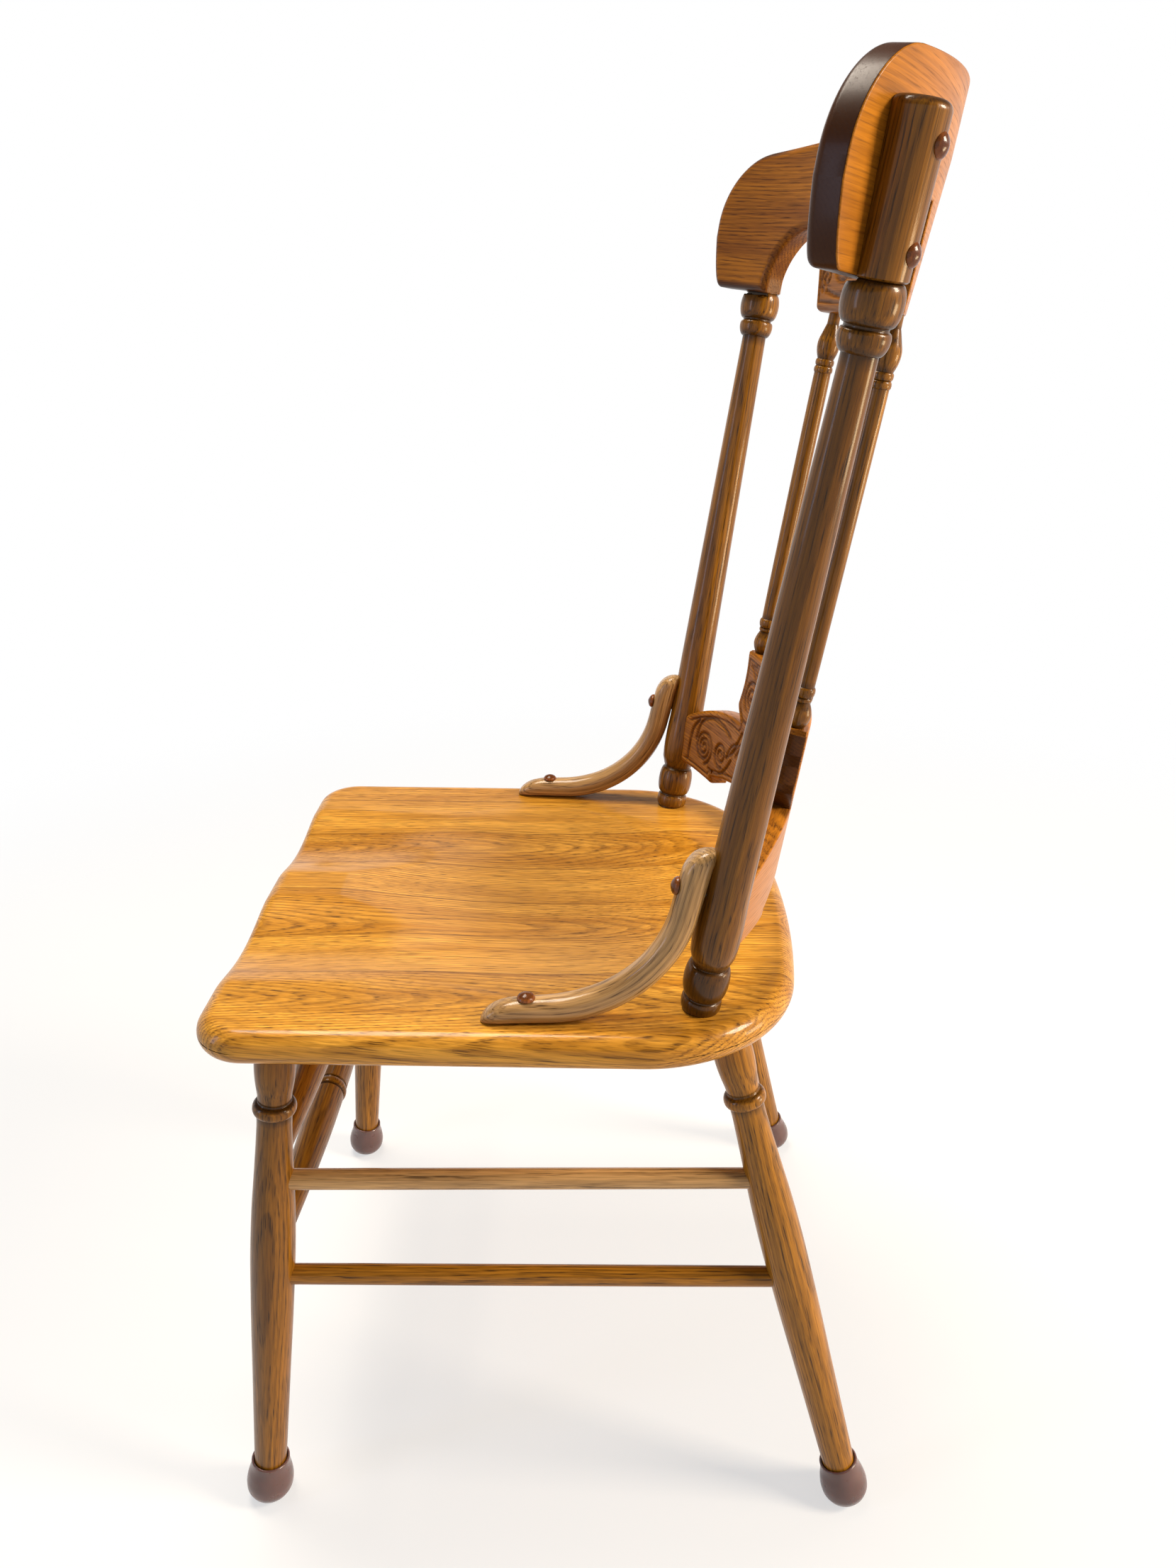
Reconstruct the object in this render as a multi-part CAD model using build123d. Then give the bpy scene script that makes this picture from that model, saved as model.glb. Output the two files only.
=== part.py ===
from build123d import *
import math

# A spindle back dining chair in oak. Millimetres, +Z up, the front of the chair faces -Y
# and the sitter's left hand is on +X. Lengths called reach run along Y from the back posts.

# Fits
glue_gap = 0.05
socket_relief = 1.0

# Seat
seat_height = 444.0
seat_tilt = 1.7
seat_width = 440.0
seat_front_reach = 346.0
seat_rear_reach = 84.5
seat_rear_crown = 31.5
seat_front_corner_radius = 36.0
seat_rear_corner_radius = 117.0
seat_thickness = 26.5
seat_edge_radius = 12.5
seat_board_width = 61.0
seat_seam_offset = 9.0
bowl_depth = 12.0
bowl_radius = 165.0
bowl_centre_reach = 118.0
thigh_hollow_depth = 11.0
thigh_hollow_half_width = 58.0
thigh_hollow_spacing = 172.0
thigh_hollow_reach = 290.0

# Legs
front_foot_spread = 413.5
front_foot_reach = 347.0
front_leg_top_spread = 364.0
front_leg_top_reach = 295.0
rear_foot_spread = 424.0
rear_foot_reach = 124.6
rear_leg_top_spread = 326.0
rear_leg_top_reach = 22.0
leg_top_diameter = 25.5
leg_vase_diameter = 28.5
leg_vase_length = 49.0
leg_groove_diameter = 25.0
leg_groove_width = 2.0
leg_ring_diameter = 29.5
leg_ring_width = 9.5
leg_collar_diameter = 27.0
leg_neck_diameter = 26.0
leg_neck_drop = 80.0
leg_swell_diameter = 33.0
leg_swell_drop = 174.0
leg_foot_diameter = 24.0
leg_tenon_diameter = 19.0
leg_tenon_length = 18.0

# Silicone foot caps
boot_diameter = 37.0
boot_belly_height = 15.5
boot_height = 39.0
boot_rim_diameter = 29.0
boot_sole = 6.0
boot_tread_diameter = 14.0

# Stretchers
side_stretcher_diameter = 15.0
stretcher_tenon_diameter = 11.0
stretcher_tenon_setback = 2.0
upper_side_front_height = 308.0
upper_side_rear_height = 295.0
lower_side_front_height = 222.0
lower_side_rear_height = 209.0
rear_stretcher_height = 251.0
upper_rung_height = 323.0
lower_rung_height = 241.0
rung_end_diameter = 15.0
rung_middle_diameter = 28.0
rung_side_bulge = 0.6
rung_groove_diameter = 25.0
rung_groove_width = 1.5
rung_bead_diameter = 30.0
rung_bead_width = 9.0

# Back posts
back_lean = 9.57
post_base_spread = 351.0
post_splay = 5.6
post_tenon_diameter = 19.0
post_tenon_length = 16.0
post_base_ring_diameter = 28.0
post_base_ring_width = 11.0
post_groove_diameter = 25.0
post_groove_width = 2.0
post_lower_ball_diameter = 31.5
post_lower_ball_height = 25.0
post_shaft_bottom_diameter = 31.0
post_shaft_top_diameter = 20.0
post_shaft_length = 391.0
post_shaft_shoulder = 6.0
post_upper_ring_diameter = 27.5
post_upper_ring_width = 12.0
post_upper_ball_diameter = 32.5
post_upper_ball_height = 21.0
post_lap_diameter = 31.0
post_lap_length = 80.0
post_lap_end_radius = 5.0

# Crest rail, its heights measured up the leaning back from the seat
crest_thickness = 20.0
crest_bow_radius = 364.0
crest_width = 508.0
crest_end_angle = 42.7
crest_ear_width = 486.0
crest_ear_bottom = 464.0
crest_ear_inner_spread = 379.0
crest_ear_corner_radius = 8.0
crest_top = 581.5
crest_top_radius = 1700.0
crest_shoulder_radius = 50.0
crest_cove_height = 48.0
crest_cove_radius = 44.0
crest_cove_inner_radius = 11.0
crest_lobe_width = 232.0
crest_lobe_bottom = 454.0
crest_lobe_flare = 16.0

# Lower rail, pressed and shaped, with a raised middle that carries the spindles
rail_thickness = 19.0
rail_bow_radius = 340.0
rail_end_spread = 344.0
rail_bottom = 50.0
rail_end_top = 98.0
rail_shoulder_top = 121.0
rail_shoulder_spread = 190.0
rail_shoulder_mid_spread = 278.0
rail_shoulder_mid_top = 113.0
rail_arch_spread = 244.0
rail_arch_step = 6.0
rail_arch_rise = 20.0
rail_crown_top = 184.5
rail_crown_width = 198.0
rail_crown_waist_spread = 178.0
rail_crown_bulge_spread = 201.0
rail_crown_bulge_height = 17.0
rail_tenon_thickness = 7.0
rail_tenon_height = 34.0
rail_tenon_depth = 12.0

# Spindles
spindle_count = 5
outer_spindle_spread = 184.0
outer_spindle_setback = 41.0
outer_spindle_head_spread = 196.0
outer_spindle_head_setback = 42.7
spindle_tenon_diameter = 7.5
spindle_tenon_length = 12.0
spindle_foot_diameter = 11.0
spindle_bulb_diameter = 17.0
spindle_foot_bulb_height = 19.0
spindle_ring_diameter = 12.5
spindle_ring_width = 3.5
spindle_bead_diameter = 14.5
spindle_bead_width = 7.5
spindle_shaft_bottom_diameter = 12.0
spindle_shaft_top_diameter = 12.8
spindle_neck_diameter = 9.0
spindle_neck_length = 8.0
spindle_top_bulb_height = 25.0
spindle_double_ring_width = 5.0
spindle_double_ring_diameter = 14.0

# Bent braces between the seat and the posts
brace_width = 20.0
brace_thickness = 19.0
brace_bend_radius = 92.0
brace_edge_radius = 6.0
brace_contact_height = 118.0
brace_lean = 18.0
brace_top_rise = 13.0
brace_nose_reach = 170.0
brace_nose_radius = 16.0
brace_top_radius = 16.0
brace_toe_out = 3.0
brace_bite = 1.0
brace_lower_plug_inset = 32.0
brace_upper_plug_drop = 27.0

# Screws and the wooden buttons over them
button_diameter = 12.5
button_height = 4.5
button_edge = 1.0
button_stem_diameter = 9.0
button_stem_length = 4.5
screw_head_diameter = 7.5
screw_head_height = 3.0
screw_shank_diameter = 4.0
screw_bite = 11.0
crest_button_lower = 13.0
crest_button_spacing = 47.0

# Room for cutting tools that run past the pieces
past = 700.0
overrun = 12.0


def turned(start_height, start_diameter, steps):
    """Solid of revolution about Z. Each step is (length, end diameter, bulge): a straight run, or an arc
    that stands out from its chord by the bulge."""
    radius = start_diameter / 2
    height = start_height
    edges = [Line((0, 0, height), (radius, 0, height))]
    for length, end_diameter, bulge in steps:
        start = Vector(radius, 0, height)
        radius = end_diameter / 2
        height += length
        end = Vector(radius, 0, height)
        chord = end - start
        outward = Vector(chord.Z, 0, -chord.X).normalized()
        middle = (start + end) * 0.5 + outward * bulge
        edges.append(ThreePointArc(start, middle, end) if bulge else Line(start, end))
    edges.append(Line((radius, 0, height), (0, 0, height)))
    edges.append(Line((0, 0, height), (0, 0, start_height)))
    return revolve(make_face(edges), Axis.Z)


def along(start, end):
    """The place of a turned piece: its foot at start, its Z axis towards end."""
    return Plane(origin=start, z_dir=end - start).location


def rod(start, end, diameter):
    """A plain round rod from one point to another."""
    length = (end - start).length
    return along(start, end) * Cylinder(diameter / 2, length, align=(Align.CENTER, Align.CENTER, Align.MIN))


def mirrored(shape):
    """The same piece on the other side of the chair."""
    return mirror(shape, about=Plane.YZ)


# Frames: the seat tilts up to the front, the back leans to the rear, both from the line of the posts
seat_frame = Location((0, 0, seat_height), (-seat_tilt, 0, 0))
back_frame = Location((0, 0, seat_height), (-back_lean, 0, 0))
below_seat = seat_frame * Pos(0, 0, -seat_thickness - past) * Box(2 * past, 2 * past, 2 * past)
above_seat = seat_frame * Pos(0, 0, past) * Box(2 * past, 2 * past, 2 * past)
above_floor = Pos(0, 0, past) * Box(2 * past, 2 * past, 2 * past)


def seat_point(x, y, z):
    """A point given in the tilted frame of the seat, whose top is z = 0."""
    return (seat_frame * Pos(x, y, z)).position


def back_point(x, depth, height):
    """A point given in the leaning frame of the back: depth behind the posts, height up the lean."""
    return (back_frame * Pos(x, depth, height)).position


def back_direction(x, depth, height):
    """A direction given in the leaning frame of the back."""
    return back_point(x, depth, height) - back_point(0, 0, 0)


# Legs: vase, groove, ring, neck and a long swelled taper into the foot cap
front_leg_top = seat_point(front_leg_top_spread / 2, -front_leg_top_reach, -seat_thickness)
front_foot = Vector(front_foot_spread / 2, -front_foot_reach, 0)
rear_leg_top = seat_point(rear_leg_top_spread / 2, rear_leg_top_reach, -seat_thickness)
rear_foot = Vector(rear_foot_spread / 2, rear_foot_reach, 0)


def leg_blank(top, foot, grow=0.0):
    """The turned leg before its sockets are bored, made larger all round by grow."""
    length = (foot - top).length - boot_sole + grow
    vase_side = leg_vase_length - leg_groove_width
    ring_end = leg_vase_length + leg_ring_width
    steps = [
        (overrun + vase_side, leg_groove_diameter + 2 * grow, (leg_vase_diameter - leg_top_diameter) / 2),
        (leg_groove_width, leg_groove_diameter + 2 * grow, 0),
        (leg_ring_width, leg_collar_diameter + 2 * grow, (leg_ring_diameter - leg_groove_diameter) / 2),
        (leg_neck_drop - ring_end, leg_neck_diameter + 2 * grow, 0),
        (leg_swell_drop - leg_neck_drop, leg_swell_diameter + 2 * grow, 0),
        (length - leg_swell_drop, leg_foot_diameter + 2 * grow, 0),
    ]
    return (along(top, foot) * turned(-overrun, leg_top_diameter + 2 * grow, steps)) & below_seat


def leg_axis_at(top, foot, height):
    """The point of a leg's axis at a height above the floor."""
    return top + (foot - top) * ((top.Z - height) / (top.Z - foot.Z))


def tenon_into_seat(top, foot, grow, extra):
    """The round tenon on top of a leg, grown and lengthened for the socket that takes it."""
    inward = (top - foot).normalized()
    end = top + inward * (leg_tenon_length + extra)
    return rod(top - inward * overrun, end, leg_tenon_diameter + 2 * grow)


legs = {
    "front_leg": (front_leg_top, front_foot),
    "rear_leg": (rear_leg_top, rear_foot),
}
blanks = {name: leg_blank(*ends) for name, ends in legs.items()}


# Stretchers: each runs from leg to leg, shouldered on the turned surface and tenoned into it
def other_side(point):
    """The mirror image of a point."""
    return Vector(-point.X, point.Y, point.Z)


def tenon_core(start, end, grow, extra):
    """The round tenons at both ends of a stretcher, as one rod that stops short of the leg axes."""
    way = (end - start).normalized()
    setback = stretcher_tenon_setback - extra
    return rod(start + way * setback, end - way * setback, stretcher_tenon_diameter + 2 * grow)


def rung_profile(length):
    """The turning of a front stretcher: it swells to the middle, where a bead stands between two grooves."""
    taper = length / 2 - rung_bead_width / 2 - rung_groove_width
    swell = (taper, rung_middle_diameter, rung_side_bulge)
    groove = (rung_groove_width, rung_groove_diameter, 0)
    bead = (rung_bead_width, rung_groove_diameter, (rung_bead_diameter - rung_groove_diameter) / 2)
    groove_end = (rung_groove_width, rung_middle_diameter, 0)
    taper_end = (taper, rung_end_diameter, rung_side_bulge)
    return turned(0, rung_end_diameter, [swell, groove, bead, groove_end, taper_end])


side_upper = (
    leg_axis_at(front_leg_top, front_foot, upper_side_front_height),
    leg_axis_at(rear_leg_top, rear_foot, upper_side_rear_height),
)
side_lower = (
    leg_axis_at(front_leg_top, front_foot, lower_side_front_height),
    leg_axis_at(rear_leg_top, rear_foot, lower_side_rear_height),
)
rung_upper_end = leg_axis_at(front_leg_top, front_foot, upper_rung_height)
rung_lower_end = leg_axis_at(front_leg_top, front_foot, lower_rung_height)
rear_end = leg_axis_at(rear_leg_top, rear_foot, rear_stretcher_height)
cross_rails = {
    "front_stretcher_upper": (other_side(rung_upper_end), rung_upper_end, "front_leg"),
    "front_stretcher_lower": (other_side(rung_lower_end), rung_lower_end, "front_leg"),
    "rear_stretcher": (other_side(rear_end), rear_end, "rear_leg"),
}

parts = {}
for name, ends in (("side_stretcher_upper", side_upper), ("side_stretcher_lower", side_lower)):
    body = rod(*ends, side_stretcher_diameter) - blanks["front_leg"] - blanks["rear_leg"]
    body = body + tenon_core(*ends, 0, 0)
    parts[name + "_left"] = body
    parts[name + "_right"] = mirrored(body)
for name, (start, end, leg) in cross_rails.items():
    length = (end - start).length
    if leg == "front_leg":
        body = along(start, end) * rung_profile(length)
    else:
        body = rod(start, end, side_stretcher_diameter)
    body = body - blanks[leg] - mirrored(blanks[leg])
    parts[name] = body + tenon_core(start, end, 0, 0)

# Legs with their sockets, and the foot caps stretched over their ends
sockets = {"front_leg": [side_upper, side_lower], "rear_leg": [side_upper, side_lower]}
for start, end, leg in cross_rails.values():
    sockets[leg].append((start, end))
for name, (top, foot) in legs.items():
    leg = blanks[name] + tenon_into_seat(top, foot, 0, 0)
    for ends in sockets[name]:
        leg = leg - tenon_core(*ends, glue_gap, socket_relief)
    parts[name + "_left"] = leg
    parts[name + "_right"] = mirrored(leg)
    belly = boot_belly_height + overrun / 2
    crown = boot_height - boot_belly_height
    boot_steps = [
        (belly, boot_diameter, (boot_diameter - boot_tread_diameter) / 4),
        (crown, boot_rim_diameter, (boot_diameter - boot_rim_diameter) / 4),
    ]
    boot = along(foot, top) * turned(-overrun / 2, boot_tread_diameter, boot_steps)
    boot = (boot & above_floor) - leg_blank(top, foot, glue_gap)
    side = name.split("_")[0]
    parts["foot_cap_" + side + "_left"] = boot
    parts["foot_cap_" + side + "_right"] = mirrored(boot)

# Back posts: base ring, ball, long taper, ring, ball and the lap behind the crest rail
post_place = back_frame * Pos(post_base_spread / 2, 0, 0) * Rot(0, post_splay, 0)
post_shaft_start = post_base_ring_width + post_lower_ball_height + 2 * post_groove_width
post_lap_start = (
    post_shaft_start + post_shaft_length + post_upper_ring_width + post_upper_ball_height + post_groove_width
)


def post_point(height):
    """The point of the left post's axis at a distance up from the seat."""
    return (post_place * Pos(0, 0, height)).position


def post_shaft_radius(height):
    """Radius of the tapered shaft at a distance up the post."""
    start = post_shaft_start + post_shaft_shoulder
    share = (height - start) / (post_shaft_length - post_shaft_shoulder)
    return (post_shaft_bottom_diameter + share * (post_shaft_top_diameter - post_shaft_bottom_diameter)) / 2


post_upper_ring_bulge = (2 * post_upper_ring_diameter - post_groove_diameter - post_shaft_top_diameter) / 4
post_steps = [
    (overrun, post_groove_diameter, 0),
    (post_base_ring_width, post_groove_diameter, (post_base_ring_diameter - post_groove_diameter) / 2),
    (post_groove_width, post_groove_diameter, 0),
    (post_lower_ball_height, post_groove_diameter, (post_lower_ball_diameter - post_groove_diameter) / 2),
    (post_groove_width, post_groove_diameter, 0),
    (post_shaft_shoulder, post_shaft_bottom_diameter, 0.8),
    (post_shaft_length - post_shaft_shoulder, post_shaft_top_diameter, 0),
    (post_upper_ring_width, post_groove_diameter, post_upper_ring_bulge),
    (post_groove_width, post_groove_diameter, 0),
    (post_upper_ball_height, post_groove_diameter, (post_upper_ball_diameter - post_groove_diameter) / 2),
    (0.01, post_lap_diameter, 0),
    (post_lap_length - post_lap_end_radius, post_lap_diameter, 0),
    (post_lap_end_radius, post_lap_diameter - 2 * post_lap_end_radius, 1.5),
]
post_blank = (post_place * turned(-overrun, post_groove_diameter, post_steps)) & above_seat


# Bent boards of the back: an outline cut through a bowed plank
def bow_centre(radius, setback, spread):
    """Depth of the centre of a bow, so that the outer spindles meet the board at their setback."""
    return setback - math.sqrt(radius**2 - (spread / 2) ** 2)


rail_bow_centre = bow_centre(rail_bow_radius, outer_spindle_setback, outer_spindle_spread)
crest_bow_centre = bow_centre(crest_bow_radius, outer_spindle_head_setback, outer_spindle_head_spread)


def bow_depth(radius, centre, x):
    """Depth of a bowed board's middle behind the posts, at a distance from the chair's centre plane."""
    return centre + math.sqrt(radius**2 - x**2)


def bowed_board(outline, radius, centre, thickness):
    """A board of even thickness, bowed about an upright axis and cut to an outline drawn as (x, height)."""
    ring = Circle(radius + thickness / 2) - Circle(radius - thickness / 2)
    plank = Pos(0, centre, 0) * extrude(ring, amount=past)
    cutter = Rot(90, 0, 0) * extrude(outline, amount=crest_width / 2, both=True)
    return back_frame * (plank & cutter)


def both_sides(edges):
    """An outline's edges with their mirror images."""
    return edges + [mirrored(edge) for edge in edges]


# Crest rail: arched top, round shoulders, ears at the posts, coves and a middle lobe for the spindles
crest_half = crest_width / 2
crest_corner = crest_top - (crest_top_radius - math.sqrt(crest_top_radius**2 - crest_half**2))
crest_cove_top = crest_ear_bottom + crest_cove_height
crest_lobe_half = crest_lobe_width / 2
crest_outline = make_face(
    both_sides(
        [
            Line((0, crest_lobe_bottom), (crest_lobe_half, crest_lobe_bottom)),
            FilletPolyline(
                (crest_lobe_half, crest_lobe_bottom),
                (crest_lobe_half + crest_lobe_flare, crest_cove_top),
                (crest_ear_inner_spread / 2, crest_cove_top),
                (crest_ear_inner_spread / 2, crest_ear_bottom),
                radius=[crest_cove_inner_radius, crest_cove_radius],
            ),
            Line((crest_ear_inner_spread / 2, crest_ear_bottom), (crest_ear_width / 2, crest_ear_bottom)),
            Line((crest_ear_width / 2, crest_ear_bottom), (crest_half, crest_corner)),
        ]
    )
    + [ThreePointArc((crest_half, crest_corner), (0, crest_top), (-crest_half, crest_corner))]
)
for side in (1, -1):
    shoulder = crest_outline.vertices().sort_by_distance((side * crest_half, crest_corner, 0))[0]
    crest_outline = fillet(shoulder, crest_shoulder_radius)
    ear = crest_outline.vertices().sort_by_distance((side * crest_ear_width / 2, crest_ear_bottom, 0))[0]
    crest_outline = fillet(ear, crest_ear_corner_radius)
crest_end_x = past * math.sin(math.radians(crest_end_angle))
crest_end_n = past * math.cos(math.radians(crest_end_angle))
crest_sector = make_face(Polyline((0, 0), (crest_end_x, crest_end_n), (-crest_end_x, crest_end_n), close=True))
square_ends = back_frame * Pos(0, crest_bow_centre, 0) * extrude(crest_sector, amount=past)
crest_blank = bowed_board(crest_outline, crest_bow_radius, crest_bow_centre, crest_thickness) & square_ends

# Lower rail: scrolled shoulders, an arched bottom edge and a crown that carries the spindles
rail_end = rail_end_spread / 2
rail_waist = rail_crown_waist_spread / 2
rail_crown_bulge = rail_shoulder_top + rail_crown_bulge_height
rail_outline = make_face(
    both_sides(
        [
            Line((rail_arch_spread / 2, rail_bottom + rail_arch_step), (rail_arch_spread / 2, rail_bottom)),
            Line((rail_arch_spread / 2, rail_bottom), (rail_end, rail_bottom)),
            Line((rail_end, rail_bottom), (rail_end, rail_end_top)),
            ThreePointArc(
                (rail_end, rail_end_top),
                (rail_shoulder_mid_spread / 2, rail_shoulder_mid_top),
                (rail_shoulder_spread / 2, rail_shoulder_top),
            ),
            Line((rail_shoulder_spread / 2, rail_shoulder_top), (rail_waist, rail_shoulder_top)),
            Line((rail_waist, rail_shoulder_top), (rail_crown_bulge_spread / 2, rail_crown_bulge)),
            Line((rail_crown_bulge_spread / 2, rail_crown_bulge), (rail_crown_width / 2, rail_crown_top)),
            Line((rail_crown_width / 2, rail_crown_top), (0, rail_crown_top)),
        ]
    )
    + [
        ThreePointArc(
            (rail_arch_spread / 2, rail_bottom + rail_arch_step),
            (0, rail_bottom + rail_arch_step + rail_arch_rise),
            (-rail_arch_spread / 2, rail_bottom + rail_arch_step),
        )
    ]
)
rail_blank = bowed_board(rail_outline, rail_bow_radius, rail_bow_centre, rail_thickness)
rail_body = rail_blank - post_blank - mirrored(post_blank)
rail_tenon_centre = (rail_bottom + rail_end_top) / 2
rail_tenon_reach = rail_end + rail_tenon_depth


def rail_tenon(grow, extra):
    """The tenon on the left end of the lower rail, half way from the post's axis to the rail's middle."""
    length = 2 * rail_tenon_depth + extra
    box = Box(length, rail_tenon_thickness + 2 * grow, rail_tenon_height + 2 * grow)
    x = rail_tenon_reach + extra - length / 2
    return back_frame * Pos(x, bow_depth(rail_bow_radius, rail_bow_centre, rail_end) / 2, rail_tenon_centre) * box


# Spindles: bulb and bead at the foot, plain shaft, double ring, bulb and neck at the crest
spindle_pitch = outer_spindle_spread / (spindle_count - 1)
between_rails = (
    back_frame
    * Pos(0, 0, (rail_crown_top + crest_lobe_bottom) / 2)
    * Box(crest_width, crest_width, crest_lobe_bottom - rail_crown_top)
)


def spindle_ends(x):
    """Where a spindle's axis meets the crown of the lower rail and the lobe of the crest rail."""
    head_x = x * outer_spindle_head_spread / outer_spindle_spread
    foot = back_point(x, bow_depth(rail_bow_radius, rail_bow_centre, x), rail_crown_top)
    return foot, back_point(head_x, bow_depth(crest_bow_radius, crest_bow_centre, head_x), crest_lobe_bottom)


def spindle_tenons(x, grow, extra):
    """The tenons at both ends of a spindle, as one rod."""
    foot, head = spindle_ends(x)
    way = (head - foot).normalized()
    reach = spindle_tenon_length + extra
    return rod(foot - way * reach, head + way * reach, spindle_tenon_diameter + 2 * grow)


def spindle(x):
    """One turned spindle with its tenons."""
    foot, head = spindle_ends(x)
    rings = 2 * spindle_double_ring_width
    turnings = spindle_foot_bulb_height + spindle_ring_width + spindle_bead_width
    shaft = (head - foot).length - turnings - rings - spindle_top_bulb_height - spindle_neck_length
    foot_bulge = (spindle_bulb_diameter - spindle_foot_diameter) / 2
    bead_bulge = (spindle_bead_diameter - spindle_ring_diameter) / 2
    ring_bulge = (spindle_double_ring_diameter - spindle_shaft_top_diameter) / 2
    neck_diameter = spindle_neck_diameter
    steps = [
        (overrun, spindle_foot_diameter, 0),
        (spindle_foot_bulb_height, spindle_foot_diameter, foot_bulge),
        (spindle_ring_width, spindle_ring_diameter, 0),
        (spindle_bead_width, spindle_shaft_bottom_diameter, bead_bulge),
        (shaft, spindle_shaft_top_diameter, 0),
        (spindle_double_ring_width, spindle_shaft_top_diameter, ring_bulge),
        (spindle_double_ring_width, spindle_shaft_top_diameter, ring_bulge),
        (spindle_top_bulb_height, neck_diameter, (spindle_bulb_diameter - spindle_shaft_top_diameter) / 2),
        (spindle_neck_length + overrun, neck_diameter, 0),
    ]
    body = along(foot, head) * turned(-overrun, spindle_foot_diameter, steps)
    return (body & between_rails) + spindle_tenons(x, 0, 0)


# Braces: a bent arm flat on the seat in front and standing against the front of the post
brace_contact = post_point(brace_contact_height)
toe_out = math.radians(brace_toe_out)
brace_rear = Vector(-math.sin(toe_out), math.cos(toe_out), 0)
brace_side = Vector(math.cos(toe_out), math.sin(toe_out), 0)
seat_fall = math.tan(math.radians(seat_tilt)) * math.cos(toe_out)
seat_under_contact = seat_height - math.tan(math.radians(seat_tilt)) * brace_contact.Y
brace_origin = Vector(brace_contact.X, brace_contact.Y, seat_under_contact)
brace_plane = Plane(origin=brace_origin, x_dir=brace_rear, z_dir=brace_side)
contact_rise = brace_contact.Z - brace_origin.Z
brace_slope = math.tan(math.radians(brace_lean))
post_front = post_shaft_radius(brace_contact_height) - brace_bite


def brace_corner(foot_height, post_gap):
    """Where a line above the seat meets a leaning line that passes the post, in the plane of the brace."""
    foot_rise = foot_height * math.hypot(1, seat_fall)
    post_shift = post_gap * math.hypot(1, brace_slope)
    a = (brace_slope * (foot_rise - contact_rise) - post_shift) / (1 + brace_slope * seat_fall)
    return a, foot_rise - seat_fall * a


def on_foot_line(a, foot_height):
    """A point of a line above the seat, in the plane of the brace."""
    return a, foot_height * math.hypot(1, seat_fall) - seat_fall * a


def on_post_line(height, post_gap):
    """A point of the leaning line that passes the post at a gap, in the plane of the brace."""
    return brace_slope * (height - contact_rise) - post_gap * math.hypot(1, brace_slope), height


brace_top = contact_rise + brace_top_rise
under = FilletPolyline(
    on_foot_line(-brace_nose_reach, glue_gap),
    brace_corner(glue_gap, post_front),
    on_post_line(brace_top, post_front),
    radius=brace_bend_radius + brace_thickness / 2,
)
over = FilletPolyline(
    on_foot_line(-brace_nose_reach, brace_thickness),
    brace_corner(brace_thickness, post_front + brace_thickness),
    on_post_line(brace_top, post_front + brace_thickness),
    radius=brace_bend_radius - brace_thickness / 2,
)
nose_tip = on_foot_line(-brace_nose_reach, brace_thickness)
top_front = on_post_line(brace_top, post_front + brace_thickness)
brace_outline = make_face([under, over, Line(under @ 0, over @ 0), Line(under @ 1, over @ 1)])
brace_outline = fillet(brace_outline.vertices().sort_by_distance((*nose_tip, 0))[0], brace_nose_radius)
brace_outline = fillet(brace_outline.vertices().sort_by_distance((*top_front, 0))[0], brace_top_radius)
brace_bar = extrude(brace_outline, amount=brace_width / 2, both=True)
brace_edges = brace_bar.edges().filter_by_position(Axis.Z, brace_width / 2, brace_width / 2)
brace_edges += brace_bar.edges().filter_by_position(Axis.Z, -brace_width / 2, -brace_width / 2)
brace_bar = fillet(brace_edges, min(brace_edge_radius, 0.45 * brace_width, 0.45 * brace_thickness))
brace_blank = (brace_plane.location * brace_bar) - post_blank


# Screws sunk in the wood, and the buttons that cover them
def button():
    """A wooden button: low dome on a stem. Its underside is z = 0 and the wood is below."""
    dome = (button_height - button_edge, 0.02, button_diameter / 14)
    stem = (button_stem_length, button_stem_diameter, 0)
    rim = [(0.01, button_diameter, 0), (button_edge, button_diameter, 0)]
    return turned(-button_stem_length, button_stem_diameter, [stem] + rim + [dome])


def screw(length):
    """A wood screw under a button: head, then shank to a depth below the button's underside."""
    head_top = -button_stem_length
    head = Pos(0, 0, head_top - screw_head_height / 2) * Cylinder(screw_head_diameter / 2, screw_head_height)
    shank_length = length - button_stem_length - screw_head_height
    shank = Pos(0, 0, -length + shank_length / 2) * Cylinder(screw_shank_diameter / 2, shank_length)
    return head + shank


def fastening_bore(length):
    """The room that a button and its screw take in the wood."""
    sink = Pos(0, 0, overrun / 2) * Cylinder(button_diameter / 2 + glue_gap, overrun)
    stem_depth = button_stem_length + screw_head_height
    stem = Pos(0, 0, -stem_depth / 2) * Cylinder(button_stem_diameter / 2 + glue_gap, stem_depth)
    shank = Pos(0, 0, -length / 2) * Cylinder(screw_shank_diameter / 2 + glue_gap, length + 2 * glue_gap)
    return sink + stem + shank


def facing(point, outward):
    """The place of a button at a point, its dome pointing outward."""
    return Plane(origin=point, z_dir=outward).location


seat_up = seat_point(0, 0, 1) - seat_point(0, 0, 0)
brace_foot_button = brace_plane.from_local_coords(
    Vector(*on_foot_line(-brace_nose_reach + brace_lower_plug_inset, brace_thickness), 0)
)
brace_post_button = brace_plane.from_local_coords(
    Vector(*on_post_line(brace_top - brace_upper_plug_drop, post_front + brace_thickness), 0)
)
brace_forward = brace_plane.from_local_coords(Vector(-1, brace_slope, 0)) - brace_plane.origin
lap_x = post_point(post_lap_start + post_lap_length / 2).X
crest_slope = math.atan2(lap_x, -crest_bow_centre)
crest_rearward = back_direction(math.sin(crest_slope), math.cos(crest_slope), 0)
button_sag = post_lap_diameter / 2 - math.sqrt(post_lap_diameter**2 - button_diameter**2) / 2
brace_places = [facing(brace_foot_button, seat_up), facing(brace_post_button, brace_forward)]
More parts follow.
